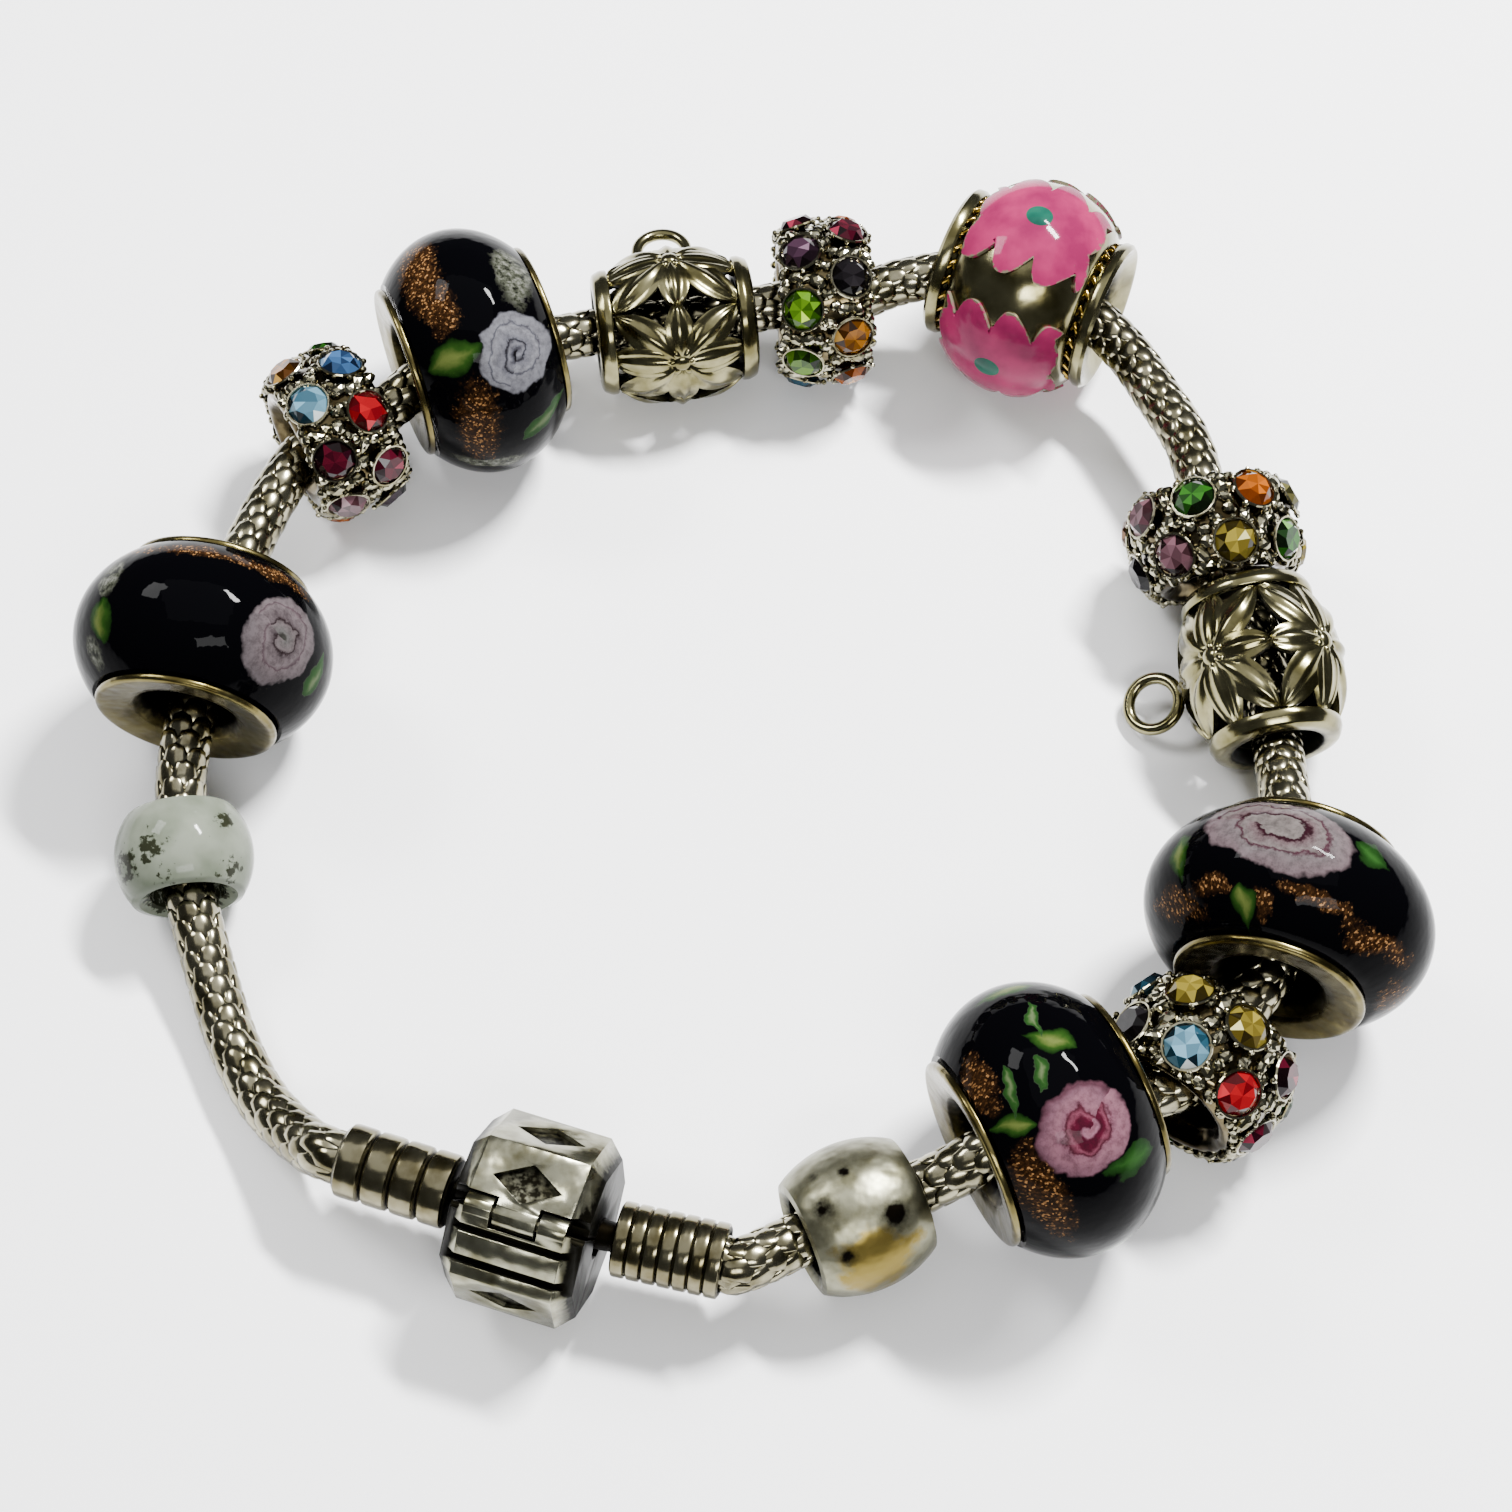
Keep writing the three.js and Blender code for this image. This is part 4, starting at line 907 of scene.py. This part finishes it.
def stone_field(bead):
    """All the stones of one rondelle as one piece with a material slot for each colour."""
    stones = []
    for row, colours in enumerate(STONES[bead]):
        for k, colour in enumerate(colours.split()):
            twist = Matrix.Rotation(chance.uniform(0, 1), 4, "Z")
            stone = copied(master, seat(bead, row, k) @ twist, "stone")
            stone.data.materials.append(GEMS[colour])
            shares = stone.data.attributes.new("facet", "FLOAT", "FACE").data
            for share, face in zip(shares, master.data.polygons):
                table_facet = face.normal.z > 0.9
                share.value = chance.choice(TABLE_SHARES if table_facet else CROWN_SHARES)
            # One facet of each stone gets a full painted glint.
            shares[chance.randrange(len(shares))].value = 1.0
            stones.append(stone)
    return joined(stones, bead + "_stones")


def setting(bead):
    """Bezels, prongs and nuggets of one rondelle, joined as one casting."""
    parts = []
    for row in (0, 1):
        for k in range(RONDELLE["per_row"]):
            place = seat(bead, row, k)
            parts.append(copied(bezel, place @ moved(0, 0, 0.08), "bezel"))
            for p in range(PRONGS):
                prong = (spun(360 / PRONGS * p + chance.uniform(-7, 7), "Z") @ moved(1.36, 0, 0.02)
                         @ Matrix.Scale(chance.uniform(0.13, 0.2), 4))
                parts.append(copied(grain, place @ prong, "prong"))
            first = BEADS[bead]["roll"] + STONE_STEP * (k + row / 2)
            for swing, along, reach, size in NUGGETS:
                angle = first + swing + chance.uniform(-3, 3)
                lump = stretched(size * chance.uniform(0.8, 1.5), size * chance.uniform(0.7, 1.1),
                                 size * 0.8)
                spin = Matrix.Rotation(chance.uniform(0, 3), 4, "Z")
                spot = outward(angle, (row * 2 - 1) * along, reach)
                parts.append(copied(grain, spot @ spin @ lump, "nugget"))
    return joined(parts, bead + "_setting")


def drum(bead):
    """The smooth dark body whose rims show at both ends."""
    half, body, rim = RONDELLE["half"], RONDELLE["drum"], RONDELLE["rim"]
    outline = [(-half, rim - 0.1), (0.3 - half, rim + 0.35), (0.7 - half, body),
               (half - 0.7, body), (half - 0.3, rim + 0.35), (half, rim - 0.1),
               (half - 0.1, 3.05), (half - 0.8, 2.45), (0.8 - half, 2.45), (0.1 - half, 3.05)]
    piece = turned(bead + "_drum", rounded(outline, 0.2), 64)
    # Towards the bore the drum gets film and painted shade.
    mark(piece, lambda spot: (2.8 - around(spot)) * 1.5)
    return piece


for bead in STONES:
    settle(drum(bead), bead, oxidised, "crystal_silver", bead)
    casting = setting(bead)
    settle(casting, bead, grained, "crystal_silver", bead)
    settle(stone_field(bead), bead, None, "crystal_silver", bead)
for spare in (master, bezel, grain):
    bpy.data.objects.remove(spare)
print("faces of a setting:", len(casting.data.polygons))

# %% [markdown]
# The openwork beads are cast barrels of leaves. At mid length stand four flower centres, and
# from each grow two leaves along the bore, two round the bead and four slanting ones, which
# leave eight curved triangles open. A leaf is made once as a flat ribbed plate, and a small
# function then lays each copy on the barrel: how far round, how far along, how high.

# %% Leaves for the openwork
OPENWORK = dict(crown=4.7, rim=3.55, reach=3.95, half=4.7, thick=0.55, relief=0.26)
LOOP = dict(radius=1.5, wire=0.35, reach=6.4)


def openwork_side(along):
    return oval(along, OPENWORK["crown"], OPENWORK["rim"], OPENWORK["reach"])


def leaf_plate(length, width, ribs):
    """A flat pointed leaf along X with ribs, from a grid primitive with a wall."""
    plate = shaped("grid", x_subdivisions=14, y_subdivisions=12, size=2)
    for vertex in plate.data.vertices:
        t, side = vertex.co.x, vertex.co.y
        spread = (1 - abs(t) ** 2.2) ** 0.8 * (1 - 0.12 * t)
        height = 0.2 * (1 - side * side) * (1 - t * t) + 0.07 * math.cos(side * math.pi * ribs)
        vertex.co = (t * length / 2, side * spread * width / 2, height)
    return modified(plate, "SOLIDIFY", thickness=OPENWORK["thick"], offset=-1)


def laid(plate, across, along, heading, roll):
    """Lays a flat plate on the barrel: its middle at (across, along), turned by heading."""
    piece = copied(plate, spun(heading, "Z"), "leaf")
    for vertex in piece.data.vertices:
        x, y, z = vertex.co
        angle = (across + x) / OPENWORK["crown"] + math.radians(roll)
        radius = openwork_side(along + y) + z - OPENWORK["relief"]
        vertex.co = beside(along + y, angle, radius) * MM
    return piece


ROUND_LEAF = leaf_plate(3.7, 1.8, 2)
LONG_LEAF = leaf_plate(4.1, 2.7, 3)
SLANT_LEAF = leaf_plate(4.9, 2.15, 2)


def flower(angle):
    """A domed centre with six small petals."""
    place = outward(angle, 0, OPENWORK["crown"] - OPENWORK["relief"] - 0.03)
    parts = [shaped("uv_sphere", place @ stretched(0.55, 0.55, 0.3), segments=16, ring_count=8,
                    radius=MM)]
    for p in range(6):
        petal = spun(60 * p, "Z") @ moved(0.55, 0, -0.03) @ stretched(0.36, 0.26, 0.2)
        parts.append(shaped("uv_sphere", place @ petal, segments=12, ring_count=6, radius=MM))
    return parts


def openwork(bead):
    """The leaves, flowers, end lips and soldered ring of one bead, joined as one casting."""
    half, reach, rim = OPENWORK["half"], OPENWORK["reach"], OPENWORK["rim"]
    parts = []
    for k in range(4):
        spoke = BEADS[bead]["roll"] + 90 * k
        for side in (-1, 1):
            parts.append(laid(ROUND_LEAF, side * 1.95, 0, 0, spoke))
            parts.append(laid(LONG_LEAF, 0, side * 2.1, 90, spoke))
            for lean in (-1, 1):
                parts.append(laid(SLANT_LEAF, lean * 1.8, side * 1.85, 45 * side * lean, spoke))
        parts += flower(spoke)
    for side in (-1, 1):
        lip = [(side * (reach - 0.25), rim + 0.1), (side * (reach + 0.15), rim + 0.12),
               (side * (half - 0.12), rim - 0.1), (side * half, rim - 0.45),
               (side * (half - 0.02), 2.5), (side * (half - 0.5), 2.35),
               (side * (reach - 0.25), 2.35), (side * (reach - 0.25), 2.9)]
        parts.append(turned("lip", rounded(lip[::side], 0.12), 56))
    hoop = outward(BEADS[bead]["ring"], 0, LOOP["reach"]) @ spun(90, "X")
    parts.append(shaped("torus", hoop, major_radius=LOOP["radius"] * MM,
                        minor_radius=LOOP["wire"] * MM, major_segments=40, minor_segments=14))
    net = smooth(joined(parts, bead + "_leaves"), 50)
    # Inner faces, below the outside of the barrel, get film and painted shade.
    mark(net, lambda spot: (openwork_side(spot.x) - 0.1 - around(spot)) * 2.6)
    return net


for number in (1, 2):
    bead = f"openwork_bead_{number}"
    net = openwork(bead)
    settle(net, bead, leafwork, "openwork_silver", bead)
for spare in (ROUND_LEAF, LONG_LEAF, SLANT_LEAF):
    bpy.data.objects.remove(spare)
print("faces of an openwork bead:", len(net.data.polygons))

# %% [markdown]
# The enamelled bead: a turned silver barrel with a thick dished flange at each end and a
# twisted gilt rope in each neck. Four pink fields of vitreous enamel lie flush in the barrel,
# with flame-shaped silver between them, and a round teal drop stands up in the middle of each.
# The fields are grids whose sides are drawn in and out by a flame outline.

# %% Enamel bead
ENAMEL = dict(radius=6.3, shoulder=3.7, shoulder_radius=4.7, panels=4)
ROPE = dict(strands=26, along=4.06, reach=3.92, lay=38)
FLANGE = [(3.95, 4.1), (4.05, 3.75), (4.2, 3.75), (4.25, 4.25), (4.5, 4.4), (4.85, 4.4),
          (5.05, 4.2), (5.0, 3.9), (4.55, 3.3), (4.4, 2.6), (4.0, 2.2)]


def film_and_shade_depth(spot):
    """The bore and the necks under the rope keep their film, with painted shade in them."""
    return max(0.0, 2.9 - around(spot)) * 1.6 + max(0.0, 0.3 - abs(abs(spot.x) - 4.1)) * 2.5


side = belly(ENAMEL["radius"] - 0.03, ENAMEL["shoulder_radius"] - 0.03, ENAMEL["shoulder"], 24)
outline = [(-a, r) for a, r in reversed(FLANGE)] + side + FLANGE
barrel = turned("enamel_bead_barrel", outline, 96)
mark(barrel, film_and_shade_depth)
settle(barrel, "enamel_bead", leafwork, "polished_silver", "enamel_bead_body")

strands = []
for side in (-1, 1):
    for k in range(ROPE["strands"]):
        place = outward(360 / ROPE["strands"] * k, side * ROPE["along"], ROPE["reach"])
        strand = place @ spun(ROPE["lay"] * side, "Z") @ stretched(0.2, 0.62, 0.3)
        strands.append(shaped("uv_sphere", strand, segments=10, ring_count=6, radius=MM))
rope = smooth(joined(strands, "enamel_bead_rope"))
# The inner side of the rope, towards the barrel, gets film and painted shade.
mark(rope, lambda spot: (4.0 - around(spot)) * 2.5)
settle(rope, "enamel_bead", gilt, "polished_silver", "enamel_bead_body")


def tongue(place, pitch):
    """1 at the tip of a flame and 0 midway between two, with a sharp tip and a round valley."""
    return (1 - abs(math.sin(math.pi * place / pitch))) ** 1.25


def enamel_field(angle, name):
    """A curved field of enamel whose four sides are bitten by flames of silver."""
    field = shaped("grid", x_subdivisions=72, y_subdivisions=64, size=2)
    field.name = name
    edge = field.data.attributes.new("recess", "FLOAT", "POINT")
    for vertex, value in zip(field.data.vertices, edge.data):
        u, v = vertex.co.x, vertex.co.y
        along = u * (3.6 - 0.35 * tongue(v * 3.6 + 0.6, 3.4))
        bite = tongue(along + (0.5 if v > 0 else -0.4), 2.35)
        half_width = 4.0 - 0.35 * u * u - 1.5 * bite
        along += 0.35 * bite * v * v
        swing = v * half_width / ENAMEL["radius"] + math.radians(angle)
        radius = oval(along, ENAMEL["radius"], ENAMEL["shoulder_radius"], ENAMEL["shoulder"])
        vertex.co = beside(along, swing, radius) * MM
        # Close to its sides the field is marked, which paints a shade line there in the glaze's
        # fleck colour.
        value.value = max(0.0, (max(abs(u), abs(v)) - 0.93) / 0.07)
    return smooth(modified(field, "SOLIDIFY", thickness=0.4 * MM, offset=0), 40)


# %% [markdown]
# Vitreous enamel is glass ground to a paste and fired onto the metal, so it has glass's gloss,
# a soft uneven tone where the layer is thicker, and tiny pits where bubbles burst.


# %% Enamel and ceramic glazes
def fired_glaze(name, pale, deep, fleck_and_shade, amount, grain_mm):
    """Fired glaze: a hard gloss with cloudy tone and flecks; the fleck colour also marks the
    ceramic's real spots and paints shade at bores and at the enamel's edges.
    """
    glaze = new_material(name, roughness=0.07, specular_ior_level=0.08)
    place = node(glaze, "TexCoord", out="Object")
    cloud = noise(glaze, place, 1 / (2.2 * MM), 3.0)
    tone = ramp(glaze, cloud, [(0.35, deep), (0.65, pale)])
    speckle_and_shade = noise(glaze, place, 1 / (grain_mm * MM), 4.0, roughness=0.65)
    # Marked places take the fleck colour: the ceramic's real spots, and painted shade in bores and
    # along the enamel's edges.
    speckle_and_shade = sum_of(glaze, "MULTIPLY_ADD", attribute(glaze, "recess"), 0.3, speckle_and_shade)
    colour = lay(glaze, tone, linear(fleck_and_shade), span(glaze, speckle_and_shade, amount, amount + 0.08))
    return shade(glaze, base_color=colour, normal=bump(glaze, cloud, 0.15, 0.05))


pink = fired_glaze("pink_enamel", "#842249", "#661739", "#575343", 0.7, 0.35)
teal = fired_glaze("teal_enamel", "#195242", "#0f352d", "#3f8a74", 0.74, 0.3)
speckled = fired_glaze("speckled_stoneware_glaze", "#6b7064", "#565c4f", "#1f2117", 0.68, 0.45)

for k in range(ENAMEL["panels"]):
    angle = BEADS["enamel_bead"]["roll"] + 360 / ENAMEL["panels"] * k
    settle(enamel_field(angle, f"enamel_field_{k + 1}"), "enamel_bead", pink, "pink_enamel",
           f"enamel_panel_{k + 1}")
    drop = outward(angle, 0, ENAMEL["radius"] - 0.12) @ stretched(1.1, 1.1, 0.37)
    dot = smooth(shaped("uv_sphere", drop, segments=32, ring_count=16, radius=MM))
    dot.name = f"enamel_drop_{k + 1}"
    settle(dot, "enamel_bead", teal, "teal_enamel", f"enamel_dot_{k + 1}")
print("enamel fields:", ENAMEL["panels"])

# %% [markdown]
# Two small plain beads: one of glazed stoneware with olive speckles, one of satin silver with
# dark pits, worn to brass colour low on one side. Both are squat barrels with soft edges.

# %% Small beads
# Dark spots of each bead: angle, place along, radius in millimetres.
SPOTS = {
    "ceramic_bead": [(22, -0.5, 0.95), (-46, 0.9, 0.7), (-52, -2.1, 1.0), (12, -2.4, 0.9),
                     (52, -0.9, 1.0), (120, 0.6, 0.7), (170, -1.0, 0.8), (-120, 1.0, 0.7)],
    "silver_bead": [(2, 2.1, 0.8), (28, -1.2, 0.85), (-18, 0.3, 0.35), (46, 1.8, 0.6),
                    (-28, 1.8, 0.4)],
}
WORN = dict(angle=62, along=0.3, reach=3.4)


def spots_and_bore_shade(spot, marks):
    """Painted shade deep in the bore, and each real dark spot at its middle."""
    in_spot = [1.3 - (spot - middle).length / size * 0.9 for middle, size in marks]
    return max([(2.5 - around(spot)) * 2] + in_spot)


for bead, radius, half, bore, material, slot in (
        ("ceramic_bead", 3.7, 2.45, 2.0, speckled, "speckled_ceramic"),
        ("silver_bead", 3.8, 3.1, 2.1, satin, "polished_silver")):
    side = belly(radius, 2.95, half - 0.1, 48)
    outline = side + [(half, 2.6), (half - 0.3, bore), (0.3 - half, bore), (-half, 2.6)]
    small = turned(bead + "_shell", outline, 120)
    marks = [(beside(a, math.radians(angle), radius), size) for angle, a, size in SPOTS[bead]]
    mark(small, lambda spot: spots_and_bore_shade(spot, marks))
    if bead == "silver_bead":
        worn = beside(WORN["along"], math.radians(WORN["angle"]), radius)
        mark(small, lambda spot: 1 - (spot - worn).length / WORN["reach"], "wear")
    settle(small, bead, material, slot, bead)
print("dark spots:", sum(len(s) for s in SPOTS.values()))

# %% [markdown]
# The barrel clasp keeps its solid's shape: an eight-sided box in two halves on a hinge, with
# grooves under the hinge. Its flat faces are right as they are, but every real edge is rubbed
# round and bright, and the grooves and the lozenges pressed into the faces are dark with film and
# painted shade. So the imported mesh is copied, its loose triangles are merged back into flats,
# and a Bevel modifier rounds the edges.

# %% Clasp
EDGE_WIDTH = 0.18
OPEN_FLAT = 4.42


def soften(node_name, name):
    """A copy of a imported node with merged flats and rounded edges."""
    piece = copied(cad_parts[node_name], Matrix(), name)
    piece.parent = None
    for key in list(piece.keys()):
        del piece[key]
    pick(piece)
    bpy.ops.object.mode_set(mode="EDIT")
    bpy.ops.mesh.select_all(action="SELECT")
    bpy.ops.mesh.remove_doubles(threshold=0.002 * MM)
    bpy.ops.mesh.dissolve_limited(angle_limit=math.radians(1))
    bpy.ops.object.mode_set(mode="OBJECT")
    modified(piece, "BEVEL", width=EDGE_WIDTH * MM, segments=2, angle_limit=math.radians(25),
             harden_normals=True)
    return smooth(piece, 30)


def face_depth(spot):
    """How far a point of the clasp lies below its nearest flat, as a share of the pressing."""
    inner = clasp_frame.inverted() @ (spot * MM) / MM
    turns = [math.pi / 4 * k for k in range(8)]
    return (OPEN_FLAT - max(inner.y * math.cos(t) + inner.z * math.sin(t) for t in turns)) * 3.5


for node_name, body in (("clasp_base", "bracelet"), ("clasp_lid", "clasp_lid")):
    case = soften(node_name, node_name + "_case")
    # Below the flats, in grooves and lozenges, the case gets film and painted shade.
    mark(case, face_depth)
    hand_over(case, rubbed, "clasp_silver", node_name, body=body)
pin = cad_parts["clasp_pin"]
pin.data.materials.clear()
pin.data.materials.append(polished)
print("clasp faces:", len(case.data.polygons))
